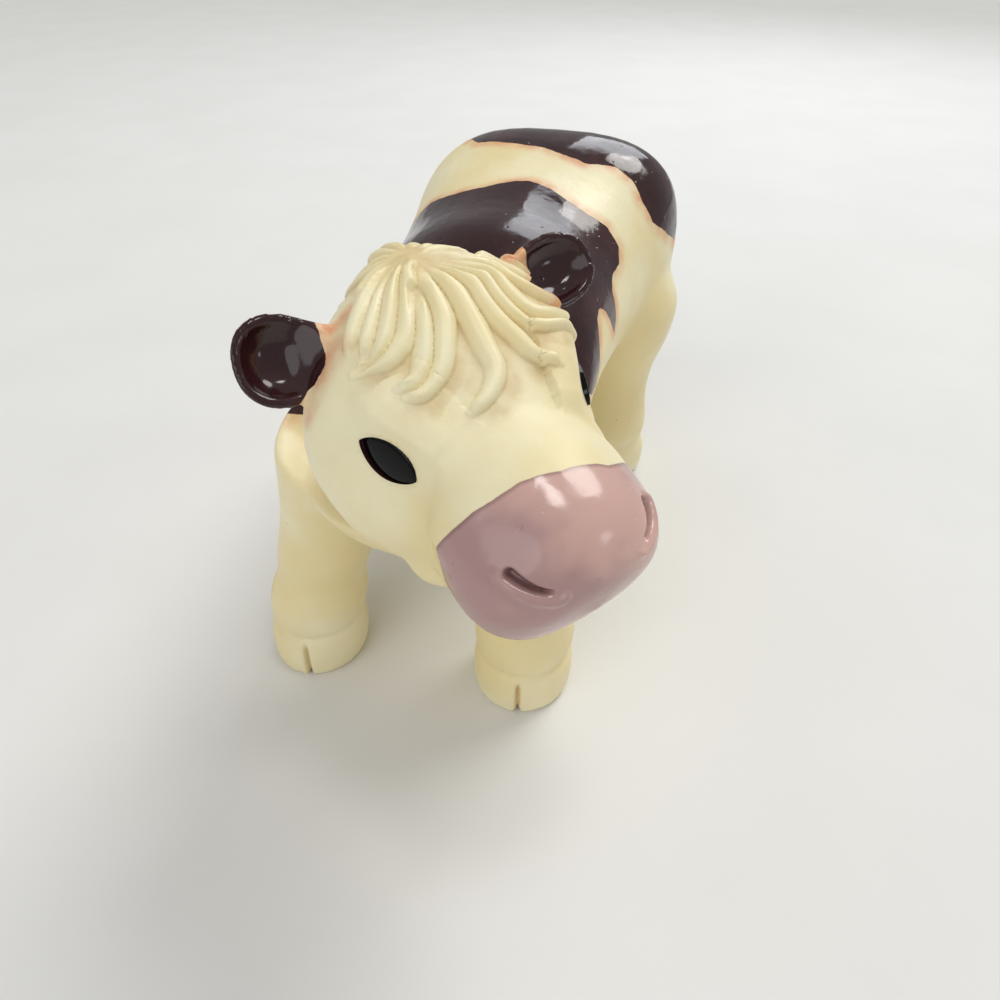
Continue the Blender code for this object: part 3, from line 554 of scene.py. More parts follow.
@dataclass(frozen=True)
class GlossBlack:
    """Polished black polystyrene, as pressed-in toy eyes are: a deep, mirror-like black."""

    name: str = "polished black polystyrene"
    tone: str = "#050405"
    haze: str = "#0f0c0c"

    def make(self) -> bpy.types.Material:
        """Builds the material."""
        n = Nodes(self.name)
        colour = n.blend(n.ramp(n.noise(2.5), 0.55, 0.8, 0, 0.5), linear(self.tone), linear(self.haze))
        shine = n.ramp(n.noise(1.6, 4), 0.4, 0.7, 0.05, 0.14)
        normal = n.bump(n.sum("MULTIPLY", n.noise(0.6), 0.004), 1.0)
        return n.surface(Base_Color=colour, Roughness=shine, Normal=normal, IOR=1.3)


@dataclass(frozen=True)
class HardPlug:
    """Injection-moulded polypropylene: a dull, slightly chalky off-white."""

    name: str = "injection-moulded polypropylene, off-white"
    tone: str = "#dcd8cc"
    worn: str = "#bdb6a2"

    def make(self) -> bpy.types.Material:
        """Builds the material."""
        n = Nodes(self.name)
        colour = n.blend(n.ramp(n.noise(3.5), 0.35, 0.7), linear(self.tone), linear(self.worn))
        normal = n.bump(n.sum("MULTIPLY", n.noise(0.7), 0.03), 1.0)
        return n.surface(Base_Color=colour, Roughness=n.ramp(n.noise(2), 0.3, 0.7, 0.42, 0.58), Normal=normal, IOR=1.49)


@dataclass(frozen=True)
class StudioPaper:
    """A plain pale paper floor."""

    name: str = "plain pale studio paper"
    tone: str = "#e9e8e5"

    def make(self) -> bpy.types.Material:
        """Builds the material."""
        n = Nodes(self.name)
        colour = n.blend(n.ramp(n.noise(60, 4), 0.3, 0.7, 0, 0.3), linear(self.tone), linear("#dfdeda"))
        return n.surface(Base_Color=colour, Roughness=0.85, Normal=n.bump(n.sum("MULTIPLY", n.noise(1.2), 0.02), 1.0))


@dataclass(frozen=True)
class Origin:
    """Where the modelling frame's origin and the neck's seam stand in the row frame."""

    neck: Vector
    neck_side: float = 1.0
    neck_fore: float = 41.0
    neck_level: float = 68.0
    neck_tilt: float = 6.0
    head_pitch: float = 25.0
    head_turn: float = 49.0

    @property
    def shift(self) -> Vector:
        """The modelling frame's origin, in metres."""
        return self.neck - Vector((self.neck_side, -self.neck_fore, self.neck_level)) * MM

    @property
    def seat(self) -> Matrix:
        """The neck's frame on the body: Z is the axis that the head turns about."""
        return Matrix.Translation(self.neck) @ Matrix.Rotation(math.radians(self.neck_tilt), 4, "X")

    @property
    def pivot(self) -> Matrix:
        """The neck's frame on the head, turned to its resting place."""
        return self.seat @ Matrix.Rotation(math.radians(self.head_turn), 4, "Z")

    @property
    def head(self) -> Matrix:
        """The head's own frame: the nose points along -Y."""
        return self.pivot @ Matrix.Rotation(math.radians(self.head_pitch - self.neck_tilt), 4, "X")


def placed(frame: Matrix, local: np.ndarray) -> np.ndarray:
    """Turns millimetres in a frame into metres in the row frame."""
    matrix = np.array(frame)
    return local * MM @ matrix[:3, :3].T + matrix[:3, 3]


def local_to(frame: Matrix, places: np.ndarray) -> np.ndarray:
    """Turns metres in the row frame into millimetres in a frame."""
    matrix = np.array(frame.inverted())
    return (places @ matrix[:3, :3].T + matrix[:3, 3]) / MM


def vertical_rings(frame: Matrix, rows: Rows, count: int) -> np.ndarray:
    """Rings about a frame's Z, from rows of height, half width, reach behind and reach ahead."""
    angles = round_angles(count)
    rings = []
    for height, half_width, behind, ahead in rows:
        x, y = oval(angles, half_width, behind, ahead)
        rings.append(placed(frame, np.stack([x, y, np.full(count, height)], axis=1)))
    return np.array(rings)


@dataclass
class CalfBody:
    """The hollow body moulding: barrel, four legs and the neck's stump, with its painted patches."""

    origin: Origin
    length: float = 127.0
    width: float = 62.0
    height: float = 50.0
    barrel_level: float = 66.0
    chest_reach: float = 60.0
    bend: float = 6.0
    grain: float = 0.8
    belly: float = 2.15
    # Share of the length; shares of the bend and the height for the middle; half width, rise and drop; the top's power
    torso: Rows = (
        (0.000, 0.00, -0.16, 0.00, 0.00, 0.00, 2.0),
        (0.010, 0.00, -0.16, 0.30, 0.20, 0.28, 2.0),
        (0.045, 0.00, -0.16, 0.60, 0.24, 0.52, 2.0),
        (0.110, 0.00, -0.15, 0.86, 0.26, 0.68, 2.1),
        (0.190, 0.00, -0.13, 0.98, 0.26, 0.76, 2.2),
        (0.280, 0.00, -0.08, 0.96, 0.30, 0.88, 2.1),
        (0.362, 0.00, 0.00, 0.95, 0.52, 0.98, 2.0),
        (0.437, 0.00, 0.01, 0.95, 0.80, 1.00, 1.9),
        (0.512, 0.00, 0.01, 0.96, 0.95, 1.00, 1.9),
        (0.625, 0.08, 0.01, 0.99, 0.99, 1.00, 2.0),
        (0.737, 0.25, 0.03, 1.05, 1.06, 0.98, 2.3),
        (0.840, 0.50, 0.07, 1.12, 1.13, 0.94, 2.7),
        (0.925, 0.75, 0.09, 1.08, 1.09, 0.86, 2.9),
        (0.974, 0.90, 0.09, 0.88, 0.88, 0.68, 2.7),
        (0.994, 1.00, 0.07, 0.46, 0.48, 0.36, 2.3),
        (1.000, 1.00, 0.06, 0.00, 0.00, 0.00, 2.0),
    )
    hoof_width: float = 23.0
    hoof_length: float = 23.6
    front_rise: float = 0.02
    hind_rise: float = 0.34
    # Share of the leg's height; lean towards the top's place; inward and back shift; half width and half length
    front_leg: Rows = (
        (0.000, 0.00, 0.00, 0.00, 0.90, 0.92),
        (0.019, 0.00, 0.00, 0.00, 0.97, 0.99),
        (0.080, 0.03, 0.00, 0.00, 1.01, 1.02),
        (0.143, 0.06, 0.00, 0.00, 0.99, 0.99),
        (0.166, 0.07, 0.00, 0.00, 0.93, 0.93),
        (0.177, 0.08, 0.00, 0.00, 0.84, 0.84),
        (0.190, 0.09, 0.00, 0.00, 0.92, 0.92),
        (0.212, 0.11, 0.00, 0.00, 0.97, 0.97),
        (0.274, 0.19, 0.00, 0.00, 0.99, 1.00),
        (0.337, 0.28, 0.00, 0.00, 0.93, 0.94),
        (0.371, 0.37, 0.00, 0.00, 0.89, 0.91),
        (0.446, 0.52, 0.00, 0.00, 0.95, 0.97),
        (0.532, 0.68, 0.00, 0.00, 0.96, 1.00),
        (0.640, 0.86, 0.00, 0.00, 0.96, 1.06),
        (0.770, 1.00, 0.02, 0.04, 1.00, 1.22),
        (0.880, 1.00, 0.05, 0.08, 0.96, 1.22),
        (0.960, 1.00, 0.12, 0.10, 0.80, 1.06),
        (1.000, 1.00, 0.20, 0.10, 0.52, 0.70),
    )
    hind_leg: Rows = (
        (0.000, 0.00, 0.00, 0.00, 0.90, 0.92),
        (0.016, 0.00, 0.00, 0.00, 0.97, 0.99),
        (0.065, 0.02, 0.00, 0.00, 1.01, 1.02),
        (0.115, 0.04, 0.00, 0.00, 0.98, 0.98),
        (0.142, 0.05, 0.00, 0.00, 0.88, 0.88),
        (0.170, 0.07, 0.00, 0.00, 0.94, 0.95),
        (0.220, 0.12, 0.00, 0.02, 0.96, 0.98),
        (0.275, 0.18, 0.00, 0.04, 0.90, 0.93),
        (0.330, 0.28, 0.00, 0.10, 0.87, 0.93),
        (0.400, 0.44, 0.00, 0.16, 0.90, 1.02),
        (0.480, 0.66, 0.00, 0.12, 1.03, 1.20),
        (0.580, 0.90, -0.06, 0.02, 1.30, 1.50),
        (0.700, 1.00, 0.02, -0.06, 1.34, 1.64),
        (0.830, 1.00, 0.28, -0.08, 1.16, 1.50),
        (0.940, 1.00, 0.62, -0.10, 0.80, 1.16),
        (1.000, 1.00, 0.80, -0.10, 0.45, 0.70),
    )
    # Each sole's share of the half width and of the length, the same for the leg's top, and the toe's turn in degrees
    legs: dict[str, Sequence[float]] = field(
        default_factory=lambda: {
            "front_right": (-0.935, 0.110, -0.740, 0.181, 11.0),
            "front_left": (0.716, 0.138, 0.740, 0.181, 9.0),
            "hind_right": (-0.726, 0.882, -0.726, 0.866, -6.0),
            "hind_left": (0.855, 0.858, 0.855, 0.866, 6.0),
        }
    )
    crease_reach: float = 4.5
    crease_turns: int = 30
    # Forms about the neck's axis: level, half width, reach behind and reach ahead
    dish: Rows = (
        (-12.5, 25.16, 5.92, 24.98),
        (-7.5, 32.56, 14.06, 32.56),
        (0.0, 37.93, 24.05, 42.55),
        (40.0, 39.96, 25.9, 42.55),
    )
    stump: Rows = (
        (-20.0, 15.54, 15.54, 15.54),
        (-13.0, 17.95, 17.95, 17.95),
        (-6.0, 18.69, 18.69, 18.69),
        (0.0, 18.5, 18.5, 18.5),
    )
    plug_hole: Rows = ((-7.0, 9.0, 9.0, 9.0), (3.0, 9.0, 9.0, 9.0))
    # Where the dish's rim is rounded: from nothing to fully, by its nearness, and beyond the stump
    rim_reach: Sequence[float] = (2.4, 0.6)
    rim_start: Sequence[float] = (19.5, 22.0)
    rim_turns: int = 14
    cleft_width: float = 0.55
    cleft_depth: float = 1.5
    cleft_top: Sequence[float] = (11.5, 8.0)
    sole_band: float = 0.35
    patch_floor: float = 34.0
    stain_place: Sequence[float] = (-39.8, -50.0, 21.5)
    stain_reach: Sequence[float] = (5.0, 1.5)
    stain_strength: float = 0.8
    # Outlines on the barrel's chart: millimetres behind the neck, and degrees from the spine towards the left
    saddle: Points = (
        (24.5, -125.0), (15.0, -104.0), (20.0, -84.0), (27.0, -66.0), (27.6, -51.0), (25.3, -35.0),
        (25.4, -18.0),
        (28.4, -3.0), (29.2, 5.0), (27.5, 18.0), (25.5, 29.0), (24.7, 40.0), (25.6, 51.0), (24.4, 61.0),
        (21.0, 66.5),
        (16.0, 67.5), (12.2, 72.0), (11.2, 79.0), (8.0, 89.0), (6.2, 84.0), (4.6, 75.0), (2.2, 71.0),
        (-1.0, 73.0),
        (-4.0, 79.0), (-7.4, 86.0), (-11.0, 95.0), (-15.0, 92.0), (-20.0, 84.0), (-30.0, 82.0), (-44.0, 76.0),
        (-50.0, 40.0), (-50.0, -40.0), (-44.0, -80.0), (-26.0, -94.0), (-14.0, -104.0), (-4.0, -98.0),
        (6.0, -106.0),
    )
    rump: Points = (
        (46.5, -34.0), (44.8, -21.0), (43.6, -8.0), (43.0, 2.0), (41.0, 14.0), (39.8, 26.0), (42.4, 38.0),
        (41.6, 48.0),
        (39.6, 56.0), (39.4, 66.0), (45.0, 76.0), (52.2, 84.0), (60.0, 80.0), (70.0, 70.0), (90.0, 60.0),
        (90.0, -60.0),
        (62.0, -44.0), (52.0, -42.0),
    )

    def along_to_fore(self, along: float | np.ndarray) -> float | np.ndarray:
        """Where a share of the barrel's length lies, in millimetres behind the neck's line."""
        return along * self.length - self.chest_reach

    def spot(self, local: np.ndarray) -> np.ndarray:
        """Turns millimetres of the modelling frame into the row frame."""
        return local * MM + np.array(self.origin.shift)

    def torso_form(self) -> bpy.types.Object:
        """Lofts the barrel from chest to rump."""
        angles = round_angles(48)
        rings = []
        for along, bend, level, width, rise, drop, square in between(self.torso, 4):
            sizes = np.maximum([width * self.width / 2, rise * self.height / 2, drop * self.height / 2], 0)
            side, up = oval(angles, *sizes, square, self.belly)
            fore = np.full(48, self.along_to_fore(along))
            high = self.barrel_level + level * self.height + up
            rings.append(np.stack([bend * self.bend + side, fore, high], axis=1))
        return loft("barrel_form", self.spot(np.array(rings)))

    def leg_form(self, name: str) -> bpy.types.Object:
        """Lofts one leg from its sole up into the barrel."""
        side, along, top_side, top_along, _ = self.legs[name]
        half = self.width / 2
        hind = name.startswith("hind")
        height = self.barrel_level + (self.hind_rise if hind else self.front_rise) * self.height
        angles = round_angles(32)
        rings = []
        for rise, lean, inward, back, width, length in between(self.hind_leg if hind else self.front_leg, 3):
            reach = length * self.hoof_length / 2
            x, y = oval(angles, width * self.hoof_width / 2, reach, reach)
            x += half * (side + lean * (top_side - side)) - math.copysign(inward * self.hoof_width / 2, side)
            fore, top = self.along_to_fore(along), self.along_to_fore(top_along)
            y += fore + lean * (top - fore) + back * self.hoof_length / 2
            rings.append(np.stack([x, y, np.full(32, rise * height)], axis=1))
        return loft(f"{name}_form", self.spot(np.array(rings)))

    def toe_frame(self, name: str) -> Matrix:
        """A frame at the middle of one sole, whose -Y points out of the toe."""
        side, along, _, _, turn = self.legs[name]
        place = Vector((side * self.width / 2, self.along_to_fore(along), 0)) * MM + self.origin.shift
        return Matrix.Translation(place) @ Matrix.Rotation(math.radians(turn), 4, "Z")

    def cleave_hooves(self, piece: bpy.types.Object) -> np.ndarray:
        """Presses the cleft into the front of each hoof and flattens each sole.

        Args:
            piece: The fused body.

        Returns:
            How deep each vertex went, as a share of the cleft's depth.
        """
        frames = [self.toe_frame(name) for name in self.legs]

        def by_a_cleft(places: np.ndarray) -> np.ndarray:
            """Says which places are near the front of a hoof."""
            found = np.zeros(len(places), bool)
            for frame in frames:
                local = local_to(frame, places)
                found |= (abs(local[:, 0]) < 4) & (local[:, 1] < -4) & (local[:, 1] > -16) & (local[:, 2] < 13)
            return found

        def in_a_cleft(places: np.ndarray) -> np.ndarray:
            """Says which places are in the front of a cleft itself."""
            found = np.zeros(len(places), bool)
            for frame in frames:
                local = local_to(frame, places)
                found |= (abs(local[:, 0]) < 1.6) & (local[:, 1] < -5) & (local[:, 1] > -16) & (local[:, 2] < 12.5)
            return found

        refine_where(piece, by_a_cleft)
        refine_where(piece, in_a_cleft)
        places, normals = points_of(piece), points_of(piece, "normal")
        depth = np.zeros(len(places))
        for frame in frames:
            local = local_to(frame, places)
            across = np.exp(-((local[:, 0] / self.cleft_width) ** 2))
            front = smooth_step(-3, -8, local[:, 1]) * smooth_step(-18, -15, local[:, 1])
            depth = np.maximum(depth, across * front * smooth_step(*self.cleft_top, local[:, 2]))
        places -= normals * (depth * self.cleft_depth * MM)[:, None]
        places[:, 2] = np.where(places[:, 2] < self.sole_band * MM, 0.0, places[:, 2])
        move_points(piece, places)
        return depth

    def chart(self, places: np.ndarray) -> tuple[np.ndarray, np.ndarray]:
        """Places on the barrel's chart: millimetres behind the neck's line, and degrees from the spine."""
        local = (places - np.array(self.origin.shift)) / MM
        along = (local[:, 1] + self.chest_reach) / self.length
        bend, level, *_ = row_at(self.torso, along)
        side = local[:, 0] - bend * self.bend
        up = local[:, 2] - self.barrel_level - level * self.height
        return local[:, 1], np.degrees(np.arctan2(side, up))

    def paint_marks(self, piece: bpy.types.Object, grime_and_shade: np.ndarray) -> None:
        """Holds the patches, the darkening of the hoof clefts (partly grime, partly painted shade) and the stain at the
        body's points.
        """
        places = points_of(piece)
        fore, around = self.chart(places)
        reach = math.radians(self.width / 2)
        patch = np.full(len(places), FAR)
        for outline in (self.saddle, self.rump):
            scaled = [(y, angle * reach) for y, angle in outline]
            patch = np.maximum(patch, polygon_distance(fore, around * reach, scaled))
        local = (places - np.array(self.origin.shift)) / MM
        patch = np.where(local[:, 2] < self.patch_floor, FAR, patch)
        write_mark(piece, Mark.PATCH, patch)
        write_mark(piece, Mark.NOSE, np.full(len(places), FAR))
        write_mark(piece, Mark.BLUSH, np.zeros(len(places)))
        write_mark(piece, Mark.GRIME_AND_SHADE, np.clip(grime_and_shade, 0, 1))
        spot = np.linalg.norm(local - np.array(self.stain_place), axis=1)
        write_mark(piece, Mark.STAIN, self.stain_strength * smooth_step(*self.stain_reach, spot))

    def build(self, vinyl: bpy.types.Material) -> bpy.types.Object:
        """Makes the dressed body and puts it in the CAD body's place."""
        forms = [self.torso_form(), *(self.leg_form(name) for name in self.legs)]
        trees = [tree_of(form) for form in forms]
        made = fuse(forms, self.grain * MM)
        ease_creases(made, trees, self.crease_reach * MM, self.crease_turns)
        dish = loft("jaw_dish", vertical_rings(self.origin.seat, self.dish, 64))
        dish_tree = tree_of(dish)
        carve(made, dish)
        stump = loft("neck_stump", vertical_rings(self.origin.seat, self.stump, 64))
        made = fuse([made, stump], self.grain * MM)
        seat = local_to(self.origin.seat, points_of(made))
        far, close = self.rim_reach
        rim = smooth_step(far * MM, close * MM, gaps_to(dish_tree, points_of(made)))
        ease_where(made, rim * smooth_step(*self.rim_start, np.hypot(seat[:, 0], seat[:, 1])), self.rim_turns)
        depth = self.cleave_hooves(made)
        made.name = "vinyl_body"
        # The hoof clefts are darkened by their depth: partly grime, partly painted shade
        self.paint_marks(made, 0.9 * depth)
        made.data.materials.clear()
        made.data.materials.append(vinyl)
        bpy.ops.object.select_all(action="DESELECT")
        carve(made, loft("plug_hole", vertical_rings(self.origin.seat, self.plug_hole, 48)))
        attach(made, "body")
        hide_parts("body_shell")
        LOG.info("%s: %d faces", made.name, len(made.data.polygons))
        return made


@dataclass
class CalfHead:
    """The hollow head moulding: skull, muzzle, jaw, ears and forelock, with its paint."""

    origin: Origin
    back: float = 23.0
    length: float = 73.5
    width: float = 47.0
    height: float = 34.0
    level: float = 18.5
    grain: float = 0.5
    crease_reach: float = 2.6
    crease_turns: int = 30
    # Share of the length; share of the height for the middle; half width, rise and drop; powers above and below
    skull: Rows = (
        (0.000, 0.02, 0.00, 0.00, 0.00, 2.0, 2.0),
        (0.014, 0.02, 0.16, 0.28, 0.26, 1.8, 2.0),
        (0.070, 0.00, 0.38, 0.57, 0.50, 1.7, 2.0),
        (0.180, -0.03, 0.79, 0.90, 0.89, 1.95, 2.1),
        (0.320, -0.08, 1.04, 1.01, 1.08, 2.3, 2.2),
        (0.430, -0.11, 1.09, 1.02, 1.15, 2.2, 2.3),
        (0.580, -0.11, 1.01, 0.94, 1.12, 1.7, 2.3),
        (0.700, -0.05, 0.79, 0.76, 0.94, 1.7, 2.3),
        (0.810, 0.02, 0.62, 0.56, 0.64, 2.0, 2.2),
        (0.900, 0.05, 0.38, 0.34, 0.38, 2.0, 2.0),
    )
    muzzle: Rows = (
        (0.580, 0.08, 0.56, 0.52, 0.56, 2.0, 2.5),
        (0.700, 0.09, 0.70, 0.65, 0.79, 1.85, 2.7),
        (0.780, 0.09, 0.72, 0.69, 0.84, 1.8, 2.8),
        (0.870, 0.08, 0.71, 0.70, 0.81, 1.8, 2.7),
        (0.940, 0.06, 0.62, 0.60, 0.67, 1.9, 2.4),
        (0.982, 0.05, 0.41, 0.40, 0.44, 2.0, 2.3),
        (1.000, 0.05, 0.00, 0.00, 0.00, 2.0, 2.0),
    )
    jaw: Rows = (
        (0.450, -0.26, 0.60, 0.34, 0.30, 2.0, 2.0),
        (0.560, -0.26, 0.74, 0.42, 0.40, 2.0, 2.0),
        (0.640, -0.26, 0.80, 0.46, 0.46, 2.0, 2.0),
        (0.700, -0.25, 0.81, 0.46, 0.50, 2.1, 2.0),
        (0.750, -0.23, 0.75, 0.42, 0.48, 2.1, 2.0),
        (0.790, -0.21, 0.58, 0.32, 0.38, 2.0, 2.0),
        (0.812, -0.20, 0.32, 0.18, 0.22, 2.0, 2.0),
        (0.820, -0.20, 0.00, 0.00, 0.00, 2.0, 2.0),
    )
    # Forms about the neck's axis: level, half width, reach behind and reach ahead
    collar: Rows = (
        (0.3, 18.5, 18.5, 18.5),
        (4.3, 18.5, 18.5, 18.5),
        (8.3, 17.2, 17.2, 17.2),
        (12.8, 14.8, 14.8, 14.8),
        (16.3, 11.5, 11.5, 11.5),
    )
    collar_hole: Rows = ((-1.0, 9.0, 9.0, 9.0), (7.0, 9.0, 9.0, 9.0))
    chin_room: Rows = ((-24.0, 22.6, 22.6, 22.6), (0.3, 22.6, 22.6, 22.6))
    # How far the muzzle and the back of the skull stand to the left of the head's middle
    muzzle_aside: float = -0.7
    crown_aside: float = 2.6
    ear_length: dict[Side, float] = field(default_factory=lambda: {Side.RIGHT: 12.6, Side.LEFT: 17.2})
    ear_width: dict[Side, float] = field(default_factory=lambda: {Side.RIGHT: 14.6, Side.LEFT: 13.2})
    ear_shift: dict[Side, float] = field(default_factory=lambda: {Side.RIGHT: 0.0, Side.LEFT: 1.3})
    ear_sink: float = 4.4
    ear_rim: float = 0.55
    ear_rim_place: float = 1.0
    ear_rim_spread: float = 0.75
    ear_bowl: float = 0.7
    ear_bowl_edge: Sequence[float] = (1.6, 5.0)
    # Along the skull, and degrees up from its side
    ear_place: Sequence[float] = (0.245, 29.0)
    # Degrees that each ear is raised and swept back, and that its opening faces forward from straight up
    ear_turn: dict[Side, Sequence[float]] = field(
        default_factory=lambda: {Side.RIGHT: (12.0, 8.0, 28.0), Side.LEFT: (4.0, 6.0, 28.0)}
    )
    # along, half width, bow of the wall and thickness, as shares of half the ear's width
    ear: Rows = (
        (0.000, 0.62, 0.02, 0.96),
        (0.200, 0.74, 0.08, 0.82),
        (0.320, 0.86, 0.20, 0.56),
        (0.460, 0.97, 0.33, 0.36),
        (0.640, 1.00, 0.38, 0.29),
        (0.800, 0.90, 0.33, 0.27),
        (0.920, 0.66, 0.22, 0.24),
        (0.980, 0.36, 0.10, 0.18),
        (1.000, 0.00, 0.03, 0.00),
    )
    # Along the skull, degrees up from its side, then the almond's slant and cant in degrees
    eye_seat: dict[Side, Sequence[float]] = field(
        default_factory=lambda: {Side.RIGHT: (0.543, 40.0, -11.0, 25.0), Side.LEFT: (0.535, 31.0, -11.0, 36.0)}
    )
    eye_length: float = 10.6
    eye_height: float = 6.0
    eye_recess: float = 1.35
    eye_dome: float = 0.45
    eye_root: float = -4.0
    # Level against the skin, and the hole's clearance round the eye there
    socket: Rows = ((-4.6, 0.06), (-1.3, 0.06), (0.0, 0.12), (4.0, 0.35))
    eye_hollow: float = 1.8
    brow_height: float = 1.7
    brow_place: float = 4.6
    brow_spread: Sequence[float] = (4.0, 1.8)
    nostril_depth: float = 1.9
    lip_height: float = 0.7
    lip_place: float = 1.5
    lip_spread: float = 0.75
    mouth_share: float = 0.45
    # One nostril's slot: to the side, towards the nose, up
    nostril: Points = ((-12.7, 41.9, 28.9), (-11.0, 43.9, 27.9), (-9.5, 45.6, 27.7), (-7.9, 46.9, 27.9))
    # Locks of the forelock on the skull, in the head's frame: to the left, towards the nose, up
    locks: Sequence[Points] = (
        (
            (1.2, -13.6, 31.1), (-3.6, -11.1, 32.5), (-7.7, -8.4, 32.7), (-10.8, -5.3, 32.1),
            (-13.1, -2.7, 30.7), (-15.1, 0.0, 29.4),
        ),
        (
            (0.3, -12.6, 31.5), (-4.3, -9.4, 33.0), (-7.3, -6.3, 32.9), (-9.8, -3.0, 32.7),
            (-12.0, -0.1, 32.1), (-13.8, 2.4, 30.9),
        ),
        (
            (0.2, -11.7, 31.8), (-3.8, -8.2, 33.3), (-6.2, -4.9, 33.3), (-8.2, -1.7, 33.3), (-10.3, 1.3, 32.7),
            (-12.6, 3.2, 31.2), (-15.2, 3.7, 30.0),
        ),
        (
            (0.8, -11.3, 31.9), (-1.7, -6.4, 33.7), (-3.6, -2.5, 34.1), (-5.6, 0.6, 34.0), (-7.4, 3.0, 33.5),
            (-9.1, 4.1, 32.1), (-11.5, 5.1, 31.9), (-13.7, 4.4, 30.2), (-16.3, 3.9, 29.2),
        ),
        (
            (-1.8, -3.4, 34.2), (-3.3, 1.0, 34.2), (-4.7, 4.4, 33.3), (-6.3, 7.3, 32.5), (-8.4, 9.6, 32.3),
            (-10.1, 10.2, 31.2), (-12.1, 9.8, 30.0),
        ),
        (
            (1.1, -7.5, 33.6), (0.5, -4.1, 33.9), (0.1, -1.0, 33.8), (-0.6, 2.3, 33.8), (-2.1, 5.5, 34.0),
            (-3.8, 8.2, 33.6), (-5.1, 9.9, 32.6), (-6.7, 11.0, 31.1), (-9.4, 12.4, 31.3), (-11.7, 11.5, 29.1),
        ),
        (
            (2.5, -8.5, 33.3), (3.3, -4.4, 34.0), (4.1, -0.8, 33.7), (3.8, 3.7, 34.2), (3.4, 7.3, 33.7),
            (3.1, 10.3, 32.7), (2.8, 12.8, 31.6), (1.2, 15.2, 31.1), (-1.6, 17.2, 31.4), (-4.5, 18.0, 30.5),
        ),
        (
            (3.3, -8.6, 33.3), (5.7, -5.6, 33.5), (7.7, -2.2, 33.0), (7.7, 2.3, 33.5), (8.1, 5.9, 32.6),
            (9.0, 9.2, 31.4), (10.2, 12.4, 30.5), (13.3, 15.3, 28.0),
        ),
        (
            (4.4, -9.3, 33.1), (8.5, -6.5, 32.8), (12.2, -3.8, 31.3), (12.6, 0.8, 31.7), (13.4, 4.1, 30.5),
            (15.7, 6.2, 28.9), (19.2, 5.5, 25.6), (22.6, 3.8, 21.6),
        ),
        (
            (5.1, -9.9, 32.9), (11.1, -8.8, 31.4), (16.0, -6.6, 28.8), (19.0, -4.7, 26.7), (21.3, -2.5, 24.4),
            (23.6, -0.5, 22.0),
        ),
        ((5.4, -11.1, 32.6), (11.1, -10.6, 31.2), (16.1, -10.4, 28.6), (20.0, -8.8, 25.7), (22.7, -6.9, 22.6)),
    )
    # Locks behind the parting: the heading round it and the reach away from it, in degrees
    back_fan: Points = (
        (100, 32), (122, 44), (146, 46), (168, 52), (190, 47), (214, 50), (238, 44), (260, 32),
    )
    skull_middle: Sequence[float] = (0.0, 2.0, 14.0)
    parting: Sequence[float] = (1.9, -12.2, 31.5)
    lock_width: float = 2.3
    lock_height: float = 1.5
    # The locks lie behind this line and above these levels of the head's frame
    lock_front: float = -26.0
    lock_floor: float = 14.0
    lock_spread_floor: float = 10.0
    # Pairs of neighbouring locks with a thinner one between them
    lock_pairs: Sequence[Sequence[int]] = ((7, 8), (8, 9), (9, 10))
    # Where the nose paint ends round the nose: degrees from the top towards the left, and millimetres towards the nose
    nose_edge: Points = (
        (-180.0, 40.0), (-122.0, 38.5), (-108.0, 36.2), (-100.0, 34.0), (-92.0, 32.3), (-84.0, 31.6),
        (-67.0, 31.9), (-56.0, 31.8),
        (-43.0, 32.1), (-24.0, 32.0), (-8.0, 32.8), (3.0, 33.4), (18.0, 33.7), (33.0, 34.2), (43.0, 35.0),
        (60.0, 34.6), (82.0, 34.0),
        (94.0, 34.4), (104.0, 36.0), (122.0, 38.5), (180.0, 40.0),
    )
    nose_axis: float = 21.0
    # The mouth's corner and the seam that runs down from it, on the right: to the left, towards the nose, up
    mouth: Points = (
        (-18.2, 31.2, 21.2), (-17.6, 32.0, 20.2), (-17.0, 33.4, 18.0), (-16.0, 35.0, 14.5), (-14.5, 36.2, 11.5),
    )
    # Peach overspray by each ear's root: two ends of its patch, to the left, towards the nose, up
    blushes: Sequence[Points] = (((-12.2, -8.5, 30.6), (-15.8, -7.3, 28.2)), ((17.5, -8.0, 29.5), (21.5, -9.0, 28.0)))
    blush_reach: Sequence[float] = (3.2, 0.8)
    blush_strength: float = 0.9
    # Where the brown starts on each ear: millimetres across the ear, and millimetres along it
    ear_paint: dict[Side, Points] = field(
        default_factory=lambda: {
            Side.RIGHT: ((-7.5, 8.6), (-5.4, 6.9), (-4.6, 5.8), (-2.3, 4.2), (0.0, 3.3), (7.0, 3.6)),
            Side.LEFT: ((-7.0, 9.6), (-2.6, 9.0), (-1.2, 7.6), (0.0, 5.6), (3.0, 4.0), (7.0, 3.0)),
        }
    )

    def station(self, along: float | np.ndarray) -> float | np.ndarray:
        """Where a share of the head's length lies along its frame's Y."""
        return self.back - self.length * along

    def section_form(
        self, name: str, rows: Rows, count: int, steps: int, aside: float = 0.0, rear_aside: float = 0.0
    ) -> bpy.types.Object:
        """Lofts a form along the nose, so many millimetres to the left of the head's middle, and more at its rear."""
        angles = round_angles(count)
        rings = []
        for along, level, width, rise, drop, upper, lower in between(rows, steps):
            sizes = np.maximum([width * self.width / 2, rise * self.height / 2, drop * self.height / 2], 0)
            side, up = oval(angles, *sizes, upper, lower)
            middle = self.level + level * self.height
            side = side + aside + rear_aside * smooth_step(0.42, 0.06, along)
            rings.append(np.stack([side, np.full(count, self.station(along)), middle + up], axis=1))
        return loft(name, placed(self.origin.head, np.array(rings).reshape(-1, 3)).reshape(len(rings), count, 3))

